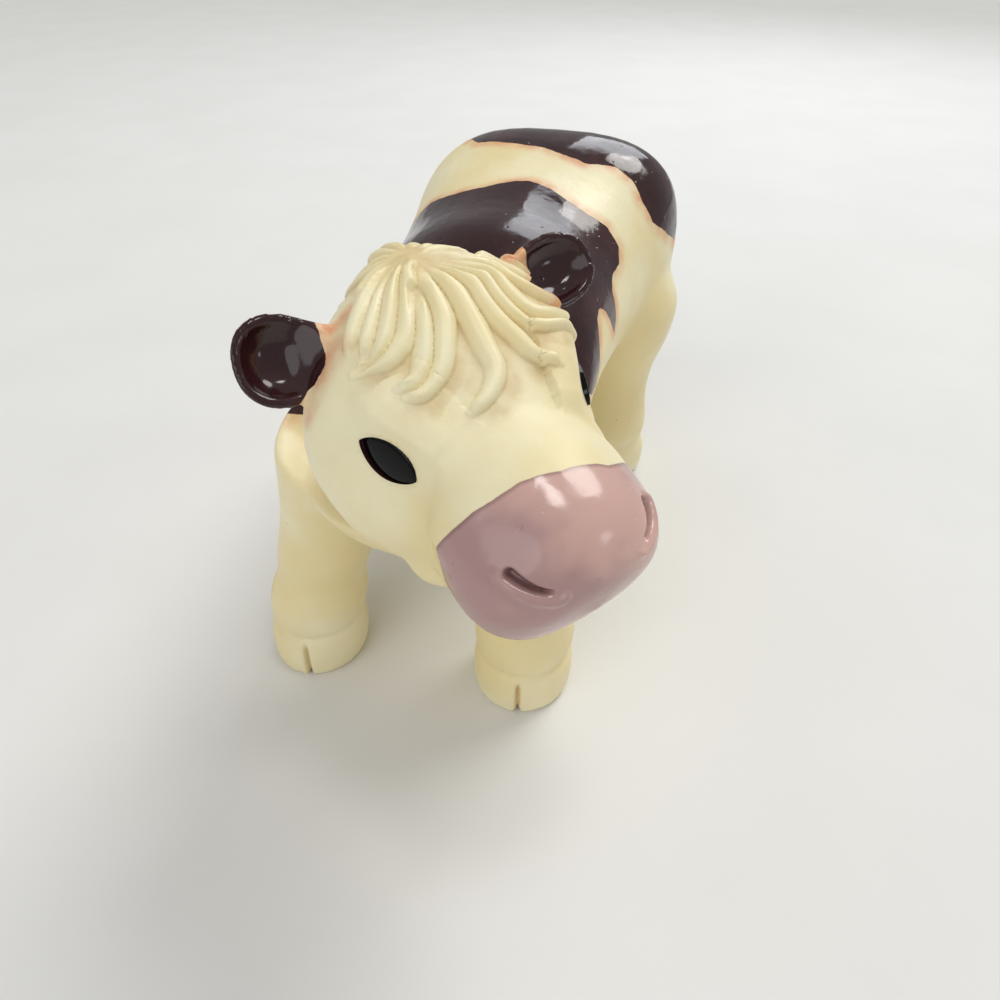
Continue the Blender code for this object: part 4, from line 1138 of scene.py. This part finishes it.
    def surface_point(self, rows: Rows, along: float, angle: float) -> Vector:
        """A point on one of the head's forms, in its frame."""
        level, width, rise, drop, upper, lower = row_at(rows, along)
        sizes = (width * self.width / 2, rise * self.height / 2, drop * self.height / 2)
        side, up = oval(np.array([math.radians(angle)]), *sizes, upper, lower)
        return Vector((side[0], self.station(along), self.level + level * self.height + up[0]))

    def eye_frame(self, side: Side) -> Matrix:
        """One eye's frame: Z out of the socket, X along the almond towards the nose."""
        along, angle, slant, cant = self.eye_seat[side]
        point = self.surface_point(self.skull, along, angle)
        ahead = (self.surface_point(self.skull, along + 0.01, angle) - point).normalized()
        around = self.surface_point(self.skull, along, angle + 0.57) - point
        normal = around.cross(ahead).normalized()
        axes = Matrix((ahead, normal.cross(ahead), normal)).transposed().to_4x4()
        turn = Matrix.Rotation(math.radians(-cant), 4, "X") @ Matrix.Rotation(math.radians(slant), 4, "Z")
        frame = Matrix.Translation(point) @ axes @ turn
        if side is Side.RIGHT:
            frame = Matrix.Diagonal((-1, 1, 1, 1)) @ frame @ Matrix.Diagonal((1, -1, 1, 1))
        return self.in_row(frame)

    def in_row(self, frame: Matrix) -> Matrix:
        """A frame of the head, given in millimetres, as a frame in the row frame in metres."""
        return self.origin.head @ Matrix.Translation(frame.translation * MM) @ frame.to_3x3().to_4x4()

    def ear_frame(self, side: Side) -> Matrix:
        """The ear's frame: Z out along the ear, X across it, Y towards its back."""
        raised, swept, faced = map(math.radians, self.ear_turn[side])
        way = Vector((math.cos(raised) * math.cos(swept), math.sin(swept), math.sin(raised))).normalized()
        opening = Vector((0, -math.sin(faced), math.cos(faced)))
        back = (way * way.dot(opening) - opening).normalized()
        root = self.surface_point(self.skull, *self.ear_place) - way * self.ear_sink
        frame = Matrix.Translation(root + back.cross(way) * self.ear_shift[side])
        frame = frame @ Matrix((back.cross(way), back, way)).transposed().to_4x4()
        if side is Side.RIGHT:
            frame = Matrix.Diagonal((-1, 1, 1, 1)) @ frame @ Matrix.Diagonal((-1, 1, 1, 1))
        return self.in_row(frame)

    def ear_form(self, side: Side) -> bpy.types.Object:
        """Lofts one cupped ear with a rounded rim."""
        angles = round_angles(48)
        rings = []
        for along, width, bow, thick in between(self.ear, 5):
            x = max(width, 0) * np.cos(angles)
            wall = thick / 2 * np.sign(np.sin(angles)) * np.abs(np.sin(angles)) ** 0.6
            y = bow * (1 - np.cos(angles) ** 2) + wall
            z = np.full(48, along * (self.ear_length[side] + self.ear_sink))
            rings.append(np.stack([x * self.ear_width[side] / 2, y * self.ear_width[side] / 2, z], axis=1))
        local = placed(self.ear_frame(side), np.array(rings).reshape(-1, 3))
        return loft(f"ear_{side.name.lower()}_form", local.reshape(len(rings), 48, 3))

    def roll_ears(self, piece: bpy.types.Object) -> None:
        """Raises a rim round each ear's open side and deepens its bowl."""
        places, normals = points_of(piece), points_of(piece, "normal")
        stations = between(self.ear, 5)
        lift = np.zeros(len(places))
        for side in Side:
            frame = self.ear_frame(side)
            local = local_to(frame, places)
            facing = normals @ np.array(frame.to_3x3() @ Vector((0, -1, 0)))
            half = stations[:, 1] * self.ear_width[side] / 2
            along = stations[:, 0] * (self.ear_length[side] + self.ear_sink)
            outline = [*zip(half, along), *zip(-half[-2::-1], along[-2::-1])]
            inside = polygon_distance(local[:, 0], local[:, 2], outline)
            out = smooth_step(self.ear_sink + 1.0, self.ear_sink + 4.5, local[:, 2]) * (abs(local[:, 1]) < 7)
            rim = self.ear_rim * np.exp(-(((inside - self.ear_rim_place) / self.ear_rim_spread) ** 2))
            bowl = self.ear_bowl * smooth_step(*self.ear_bowl_edge, inside)
            lift += out * smooth_step(-0.1, 0.5, facing) * (rim - bowl)
        move_points(piece, places + normals * (lift * MM)[:, None])

    def back_locks(self, tree: BVHTree) -> list[np.ndarray]:
        """Shorter locks that fan from the parting over the back of the head, in metres."""
        middle = Vector(self.skull_middle)
        start = (Vector((self.parting[0], -self.parting[1], self.parting[2])) - middle).normalized()
        across = start.cross(Vector((0, -1, 0))).normalized()
        found = []
        for index, (heading, spread) in enumerate(self.back_fan):
            path = []
            for part in np.linspace(0.12, 1, 8):
                turn = math.radians(heading + (16 if index % 2 else -14) * part**2)
                tipped = Matrix.Rotation(math.radians(spread) * part, 3, across) @ start
                way = Matrix.Rotation(turn, 3, start) @ tipped
                world = self.origin.head @ ((middle + way * 60) * MM)
                aim = self.origin.head.to_3x3() @ -way
                hit = tree.ray_cast(world, aim)[0]
                if hit is not None:
                    path.append(np.array(hit))
            found.append(np.array(path))
        return found

    def lock_paths(self, tree: BVHTree) -> list[tuple[np.ndarray, float]]:
        """Lays every lock on the skull.

        Args:
            tree: The skull's surface.

        Returns:
            Each lock's path in metres, with its half width in millimetres.
        """
        dense = [between(np.array(lock) * (1, -1, 1), 4) for lock in self.locks]
        even = [
            np.array([np.interp(np.linspace(0, len(lock) - 1, 24), np.arange(len(lock)), axis) for axis in lock.T]).T
            for lock in dense
        ]
        found = [(lock, self.lock_width) for lock in dense]
        found += [((even[first] + even[second]) / 2, 0.62 * self.lock_width) for first, second in self.lock_pairs]
        laid = [(snapped(tree, placed(self.origin.head, lock)), width) for lock, width in found]
        return laid + [(lock, 0.8 * self.lock_width) for lock in self.back_locks(tree)]

    def comb_forelock(self, piece: bpy.types.Object) -> np.ndarray:
        """Raises the locks out of the skull, each as wide as its neighbours leave it.

        Args:
            piece: The fused head.

        Returns:
            How deep between locks each vertex lies, from 0 to 1.
        """
        paths = self.lock_paths(tree_of(piece))

        def under_locks(places: np.ndarray) -> np.ndarray:
            """Says which places lie under a lock."""
            local = local_to(self.origin.head, places)
            found = np.zeros(len(places), bool)
            near = np.nonzero((local[:, 2] > self.lock_floor) & (local[:, 1] > self.lock_front))[0]
            for path, half in paths:
                found[near[path_distance(places[near], path)[0] < 1.3 * half * MM]] = True
            return found

        refine_where(piece, under_locks)
        places, normals = points_of(piece), points_of(piece, "normal")
        local = local_to(self.origin.head, places)
        near = (local[:, 2] > self.lock_spread_floor) & (local[:, 1] > self.lock_front)
        found = [path_distance(places[near], path) for path, _ in paths]
        gaps = np.array([gap for gap, _ in found]) / MM
        owner = gaps.argmin(axis=0)
        reach = np.partition(gaps, 1, axis=0)[1]
        gap, column = gaps.min(axis=0), np.arange(gaps.shape[1])
        where = np.array([where for _, where in found])[owner, column]
        half = np.array([half for _, half in paths])[owner]
        width = half * (0.35 + 0.65 * np.sin(np.pi * np.clip(where, 0, 1) ** 0.7) ** 0.7)
        ratio = np.clip(np.maximum(gap / width, 2 * gap / (gap + reach)), 0, 1)
        back = np.arange(len(paths)) >= len(self.locks) + len(self.lock_pairs)
        height = np.where(back[owner], 0.5, 1.0) * self.lock_height
        height = height * smooth_step(-0.05, 0.18, where) * smooth_step(1.03, 0.94, where)
        height = height * smooth_step(0.2, 1.3, (gap + reach) / 2)
        rise, covered = np.zeros(len(places)), np.zeros(len(places))
        rise[near] = height * (1 - ratio**2.4) ** 0.75
        covered[near] = smooth_step(2.4 * self.lock_width, 1.2 * self.lock_width, gap) * smooth_step(1.05, 0.85, where)
        move_points(piece, places + normals * (rise * MM)[:, None])
        ease_where(piece, (rise > 0.02) * 0.9 + (covered > 0.05) * 0.1, 2, 0.4)
        return covered * np.clip(1 - rise / (0.45 * self.lock_height), 0, 1)

    def press_nostrils(self, piece: bpy.types.Object) -> np.ndarray:
        """Presses a slot with a raised lower rim into each side of the muzzle.

        Args:
            piece: The head.

        Returns:
            How deep each vertex went, from 0 to 1.
        """
        tree = tree_of(piece)
        slots = [between(np.array(self.nostril) * (sign, -1, 1), 4) for sign in (1, -1)]
        paths = [local_to(self.origin.head, snapped(tree, placed(self.origin.head, slot))) for slot in slots]

        def by_a_slot(places: np.ndarray) -> np.ndarray:
            """Says which places are near a nostril."""
            local = local_to(self.origin.head, places)
            corners = [np.array(self.mouth) * (sign, -1, 1) for sign in (1, -1)]
            return np.min([path_distance(local, path)[0] for path in (*paths, *corners)], axis=0) < 3.0

        refine_where(piece, by_a_slot)
        places, normals = points_of(piece), points_of(piece, "normal")
        local = local_to(self.origin.head, places)
        depth = np.zeros(len(places))
        lift = np.zeros(len(places))
        for side in Side:
            corner = placed(self.origin.head, between(np.array(self.mouth) * (-side.value, -1, 1), 4))
            gap, where = path_distance(local, local_to(self.origin.head, snapped(tree, corner)))
            depth = np.maximum(depth, self.mouth_share * smooth_step(1.0, 0.1, gap / (1.3 - 0.7 * where)))
        for path in paths:
            gap, where = path_distance(local, path)
            centre = np.array([np.interp(where, np.linspace(0, 1, len(path)), path[:, axis]) for axis in range(3)]).T
            below = (local - centre) @ np.array([0, -0.25, -1.0])
            width = 0.85 - 0.45 * where
            depth = np.maximum(depth, smooth_step(1.25, 0.35, gap / width) * smooth_step(1.02, 0.75, where))
            lip = np.exp(-(((gap - self.lip_place) / self.lip_spread) ** 2)) * smooth_step(-0.5, 0.9, below)
            lift = np.maximum(lift, lip * smooth_step(3.2, 2.0, gap))
        places += normals * ((self.lip_height * lift - self.nostril_depth * depth) * MM)[:, None]
        move_points(piece, places)
        return depth

    def sink_eyes(self, piece: bpy.types.Object) -> None:
        """Sinks a hollow round each eye under a raised brow, so that the eye faces sideways."""
        places, normals = points_of(piece), points_of(piece, "normal")
        lift = np.zeros(len(places))
        for side in Side:
            local = local_to(self.eye_frame(side), places)
            up, along = -local[:, 1] * side.value, abs(local[:, 0])
            close = (local[:, 2] > -9) & (local[:, 2] < 9) & (along < 14) & (abs(up) < 18)
            hollow = smooth_step(3.4, -3.2, up) * smooth_step(-14, -5, up) * smooth_step(12, 4.5, along)
            spread = np.where(up > self.brow_place, *self.brow_spread)
            brow = np.exp(-(((up - self.brow_place) / spread) ** 2)) * smooth_step(11, 5, along)
            lift += close * (self.brow_height * brow - self.eye_hollow * hollow)
        move_points(piece, places + normals * (lift * MM)[:, None])

    def eye_cutter(self, side: Side) -> bpy.types.Object:
        """The drafted almond hole that one eye sits in."""
        frame = self.eye_frame(side)
        rings = []
        for level, grow in self.socket:
            x, y = almond(self.eye_length + 2 * grow, self.eye_height + 2 * grow, EYE_RING)
            rings.append(placed(frame, np.stack([x, y, np.full(EYE_RING, level)], axis=1)))
        made = loft(f"eye_socket_{side.name.lower()}", np.array(rings))
        # Its faces carry the socket mark, so the walls that it cuts render dark brown: painted shade
        mark_faces(made, Mark.SOCKET, 1.0)
        return made

    def clean_rims(self, piece: bpy.types.Object) -> None:
        """Keeps the paint's marks off the rims of both sockets, which a cut leaves in between."""
        places = points_of(piece)
        wall = np.zeros(len(places), bool)
        for side in Side:
            local = local_to(self.eye_frame(side), places)
            ratio = np.hypot(local[:, 0] / (self.eye_length / 2 + 0.5), local[:, 1] / (self.eye_height / 2 + 0.5))
            wall |= (ratio < 1) & (abs(local[:, 2]) < 6)
        # The rims keep a little darkening: painted shade along each socket's edge
        for mark, value in ((Mark.PATCH, FAR), (Mark.NOSE, FAR), (Mark.BLUSH, 0.0), (Mark.GRIME_AND_SHADE, 0.3)):
            held = np.empty(len(places), np.float32)
            piece.data.attributes[mark.value].data.foreach_get("value", held)
            held[wall] = value
            piece.data.attributes[mark.value].data.foreach_set("value", held)

    def paint_marks(self, piece: bpy.types.Object, grime_and_shade: np.ndarray, trees: dict[str, BVHTree]) -> None:
        """Holds the nose paint, the ear paint, the overspray and the darkening of the hollows, partly grime and partly
        painted shade, at the head's points.
        """
        places = points_of(piece)
        local = local_to(self.origin.head, places)
        edge = np.array(self.nose_edge)
        around = np.degrees(np.arctan2(local[:, 0], local[:, 2] - self.nose_axis))
        nose = -local[:, 1] - np.interp(around, edge[:, 0], edge[:, 1])
        to = {name: gaps_to(tree, places) / MM for name, tree in trees.items()}
        nose = np.minimum(nose, to["jaw"] - to["muzzle"] + 0.1)
        # The mouth's crease is darkened like the hollows: partly grime, partly painted shade
        crease = np.exp(-(((to["jaw"] - to["muzzle"]) / 0.7) ** 2)) * smooth_step(1.6, 0.6, to["jaw"] + to["muzzle"])
        grime_and_shade = np.maximum(grime_and_shade, crease)
        patch = np.full(len(places), FAR)
        for side in Side:
            at_ear = local_to(self.ear_frame(side), places)
            edge = np.array(self.ear_paint[side])
            beyond = at_ear[:, 2] - np.interp(at_ear[:, 0], edge[:, 0], edge[:, 1])
            on_ear = to["skull"] - to[f"ear_{side.name.lower()}"] + 1.6
            patch = np.maximum(patch, np.minimum(beyond, on_ear))
        blush = np.zeros(len(places))
        for ends in self.blushes:
            gap, _ = path_distance(local, np.array(ends) * (1, -1, 1))
            blush = np.maximum(blush, smooth_step(*self.blush_reach, gap))
        write_mark(piece, Mark.PATCH, patch)
        write_mark(piece, Mark.NOSE, nose)
        write_mark(piece, Mark.BLUSH, self.blush_strength * blush)
        write_mark(piece, Mark.GRIME_AND_SHADE, grime_and_shade)
        write_mark(piece, Mark.STAIN, np.zeros(len(places)))

    def build(self, vinyl: bpy.types.Material) -> bpy.types.Object:
        """Makes the dressed head and puts it in the CAD head's place."""
        forms = {
            "skull": self.section_form("skull_form", self.skull, 64, 6, 0.0, self.crown_aside),
            "muzzle": self.section_form("muzzle_form", self.muzzle, 64, 6, self.muzzle_aside),
            "jaw": self.section_form("jaw_form", self.jaw, 48, 5),
            "collar": loft("collar_form", vertical_rings(self.origin.pivot, self.collar, 64)),
            "ear_left": self.ear_form(Side.LEFT),
            "ear_right": self.ear_form(Side.RIGHT),
        }
        trees = {name: tree_of(form) for name, form in forms.items()}
        made = fuse(list(forms.values()), self.grain * MM)
        # The crease between muzzle and jaw is the mouth, so it stays sharp
        mouth = frozenset(index for index, name in enumerate(forms) if name in ("muzzle", "jaw"))
        ease_creases(made, list(trees.values()), self.crease_reach * MM, self.crease_turns, mouth)
        self.sink_eyes(made)
        self.roll_ears(made)
        # The darkening of the gaps between locks, partly grime and partly painted shade, is held on the mesh while the
        # nostrils subdivide it, so that new points get theirs
        write_mark(made, Mark.GRIME_AND_SHADE, self.comb_forelock(made))
        pressed = self.press_nostrils(made)
        grime_and_shade = np.empty(len(made.data.vertices), np.float32)
        made.data.attributes[Mark.GRIME_AND_SHADE.value].data.foreach_get("value", grime_and_shade)
        made.data.attributes.remove(made.data.attributes[Mark.GRIME_AND_SHADE.value])
        made.name = "vinyl_head"
        self.paint_marks(made, np.maximum(grime_and_shade, pressed), trees)
        carve(made, loft("chin_room", vertical_rings(self.origin.pivot, self.chin_room, 64)))
        carve(made, loft("collar_hole", vertical_rings(self.origin.pivot, self.collar_hole, 48)))
        # The skin's faces carry no socket shade; the cut walls get theirs from the cutters
        mark_faces(made, Mark.SOCKET, 0.0)
        for side in Side:
            carve(made, self.eye_cutter(side))
        self.clean_rims(made)
        made.data.materials.clear()
        made.data.materials.append(vinyl)
        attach(made, "head")
        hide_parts("head_shell")
        LOG.info("%s: %d faces", made.name, len(made.data.polygons))
        return made

    def build_eye(self, side: Side, black: bpy.types.Material) -> bpy.types.Object:
        """Makes one domed almond eye and puts it in the CAD eye's place."""
        frame = self.eye_frame(side)
        rings = []
        angles = np.linspace(0, math.pi / 2, 9)
        dome = zip(self.eye_dome * np.sin(angles) - self.eye_recess, np.cos(angles))
        for level, spread in [(self.eye_root, 1.0), *dome]:
            x, y = almond(self.eye_length * spread, self.eye_height * spread, EYE_RING)
            rings.append(placed(frame, np.stack([x, y, np.full(EYE_RING, level)], axis=1)))
        made = loft(f"glossy_eye_{side.name.lower()}", np.array(rings))
        only(made)
        bpy.ops.object.shade_smooth_by_angle(angle=math.radians(50))
        made.data.materials.append(black)
        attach(made, "head")
        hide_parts(f"eye_{side.name.lower()}")
        LOG.info("%s: %d faces", made.name, len(made.data.polygons))
        return made


def almond(length: float, height: float, count: int) -> tuple[np.ndarray, np.ndarray]:
    """Walks round a lens outline with a point at each end."""
    angles = round_angles(count)
    sine = np.sin(angles)
    return length / 2 * np.cos(angles), height / 2 * np.sign(sine) * np.abs(sine) ** 1.5


@dataclass
class Tail:
    """The tail moulding: a tapered stem and a tuft, plugged into the croup."""

    body: CalfBody
    radius: float = 3.0
    root: float = 7.0
    reach: float = 8.0
    drop: float = 48.0
    root_along: float = 0.981
    lift: float = 15.0
    paint_start: float = 0.71
    # Shares of the reach and of the drop, and the tail's thickness as a share of its radius
    route: Rows = (
        (0.40, -0.02, 1.00),
        (0.80, 0.01, 1.00),
        (1.05, 0.10, 0.95),
        (1.10, 0.26, 0.88),
        (1.08, 0.48, 0.82),
        (1.03, 0.66, 0.86),
        (1.01, 0.77, 1.30),
        (1.01, 0.88, 1.50),
        (1.03, 0.96, 1.05),
        (1.05, 1.00, 0.35),
    )

    def build(self, vinyl: bpy.types.Material) -> bpy.types.Object:
        """Makes the dressed tail and puts it in the CAD tail's place."""
        body = self.body
        bend, level, _, rise, *_ = row_at(body.torso, self.root_along)
        up = body.barrel_level + level * body.height + rise * body.height / 2
        point = np.array([bend * body.bend, body.along_to_fore(self.root_along), up])
        lift = math.radians(self.lift)
        way = np.array([0, math.cos(lift), math.sin(lift)])
        start = point + way * self.radius / 2
        rows = [(*(point - way * self.root), 1.0), (*start, 1.0)]
        for reach, drop, thick in between(self.route, 4):
            rows.append((*(start + np.array([0, reach * self.reach, -drop * self.drop])), thick))
        path = np.array(rows)
        ways = np.gradient(path[:, :3], axis=0)
        ways /= np.linalg.norm(ways, axis=1)[:, None]
        angles = round_angles(48)
        rings = []
        for index, ((*place, thick), along) in enumerate(zip(path, ways)):
            side = np.array([1.0, 0, 0])
            out = np.cross(along, side)
            tuft = smooth_step(0.70, 0.80, np.array([index / (len(path) - 1)]))[0]
            wave = 1 + 0.1 * tuft * np.cos(7 * angles + 0.35 * index)
            x, y = np.cos(angles) * wave * self.radius * thick, np.sin(angles) * wave * self.radius * thick
            rings.append(np.array(place) + x[:, None] * side + y[:, None] * out)
        made = loft("vinyl_tail", body.spot(np.array(rings)))
        only(made)
        bpy.ops.object.shade_smooth_by_angle(angle=math.radians(60))
        places = points_of(made)
        low = (body.spot(start[None])[0, 2] - places[:, 2]) / MM
        write_mark(made, Mark.PATCH, low - self.paint_start * self.drop)
        write_mark(made, Mark.NOSE, np.full(len(places), FAR))
        for mark in (Mark.BLUSH, Mark.GRIME_AND_SHADE, Mark.STAIN):
            write_mark(made, mark, np.zeros(len(places)))
        made.data.materials.append(vinyl)
        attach(made, "body")
        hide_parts("tail")
        LOG.info("%s: %d faces", made.name, len(made.data.polygons))
        return made


@dataclass
class Studio:
    """The pale floor, the soft lamps and the camera that looks down at the head."""

    camera_place: Sequence[float] = (0.044081, -0.149062, 0.150)
    camera_yaw: float = 16.0
    camera_pitch: float = 40.0
    lens: float = 27.036
    floor_size: float = 6.0
    # Square lamps: name, place and size in metres, power in watts, tone
    lamps: Sequence[tuple[str, Sequence[float], float, float, str]] = (
        ("window", (0.10, 0.78, 0.60), 0.42, 1.9, "#f4f9ff"),
        ("ceiling", (0.17, 0.02, 1.10), 0.20, 1.5, "#fffdf8"),
        ("side window", (0.72, -0.10, 0.31), 0.12, 0.16, "#f4f9ff"),
    )
    # Suns: name, place that they shine from, strength, spread in degrees, tone
    suns: Sequence[tuple[str, Sequence[float], float, float, str]] = (
        ("key", (0.45, 0.75, 1.0), 0.95, 24, "#fffdf8"),
        ("fill", (-0.3, -1.0, 0.8), 0.75, 50, "#ffffff"),
    )
    world_tone: str = "#eef0f2"
    world_strength: float = 0.45

    def build(self) -> None:
        """Sets the stage, the lamps, the world and the camera."""
        bpy.ops.object.select_all(action="DESELECT")
        bpy.ops.mesh.primitive_plane_add(size=self.floor_size)
        floor = bpy.context.object
        floor.name = "studio_floor"
        floor.data.materials.append(StudioPaper().make())
        for lamp in self.lamps:
            self.lamp(*lamp)
        for sun in self.suns:
            self.sun(*sun)
        world = bpy.data.worlds.new("plain studio")
        bpy.context.scene.world = world
        world.use_nodes = True
        world.node_tree.nodes["Background"].inputs["Color"].default_value = linear(self.world_tone)
        world.node_tree.nodes["Background"].inputs["Strength"].default_value = self.world_strength
        data = bpy.data.cameras.new("camera")
        data.lens, data.sensor_width, data.clip_start = self.lens, 36.0, 0.005
        camera = bpy.data.objects.new("camera", data)
        bpy.context.scene.collection.objects.link(camera)
        camera.location = self.camera_place
        camera.rotation_euler = (math.radians(90 - self.camera_pitch), 0, math.radians(self.camera_yaw))
        bpy.context.scene.camera = camera
        bpy.context.scene.view_settings.view_transform = "Standard"

    def lamp(self, name: str, place: Sequence[float], size: float, power: float, tone: str) -> None:
        """Hangs one square soft lamp that faces the calf."""
        data = bpy.data.lights.new(name, "AREA")
        data.size, data.energy, data.color = size, power, linear(tone)[:3]
        self.hang(data, place)

    def sun(self, name: str, place: Sequence[float], strength: float, spread: float, tone: str) -> None:
        """Lights the whole stage evenly from one side, with shadows as soft as the spread in degrees."""
        data = bpy.data.lights.new(name, "SUN")
        data.angle, data.energy, data.color = math.radians(spread), strength, linear(tone)[:3]
        self.hang(data, place)

    def hang(self, data: bpy.types.Light, place: Sequence[float]) -> None:
        """Puts a lamp at its place and turns it to the calf."""
        made = bpy.data.objects.new(data.name, data)
        bpy.context.scene.collection.objects.link(made)
        made.location = place
        made.rotation_euler = (Vector((0, 0, 0.06)) - Vector(place)).to_track_quat("-Z", "Y").to_euler()


def main() -> None:
    """Builds the calf and its stage."""
    logging.basicConfig(level=logging.INFO, format="%(name)s: %(message)s")
    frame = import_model()
    joint = next(joint for joint in frame["joints"] if joint["name"] == "neck_swivel")
    origin = Origin(Vector(joint["pos_m"]))
    vinyl, black = PaintedVinyl().make(), GlossBlack().make()
    body, head = CalfBody(origin), CalfHead(origin)
    body.build(vinyl)
    head.build(vinyl)
    for side in Side:
        head.build_eye(side, black)
    Tail(body).build(vinyl)
    plug = frame["nodes"]["neck_plug"]
    plug.data.materials.clear()
    plug.data.materials.append(HardPlug().make())
    Studio().build()


if __name__ == "__main__":
    main()
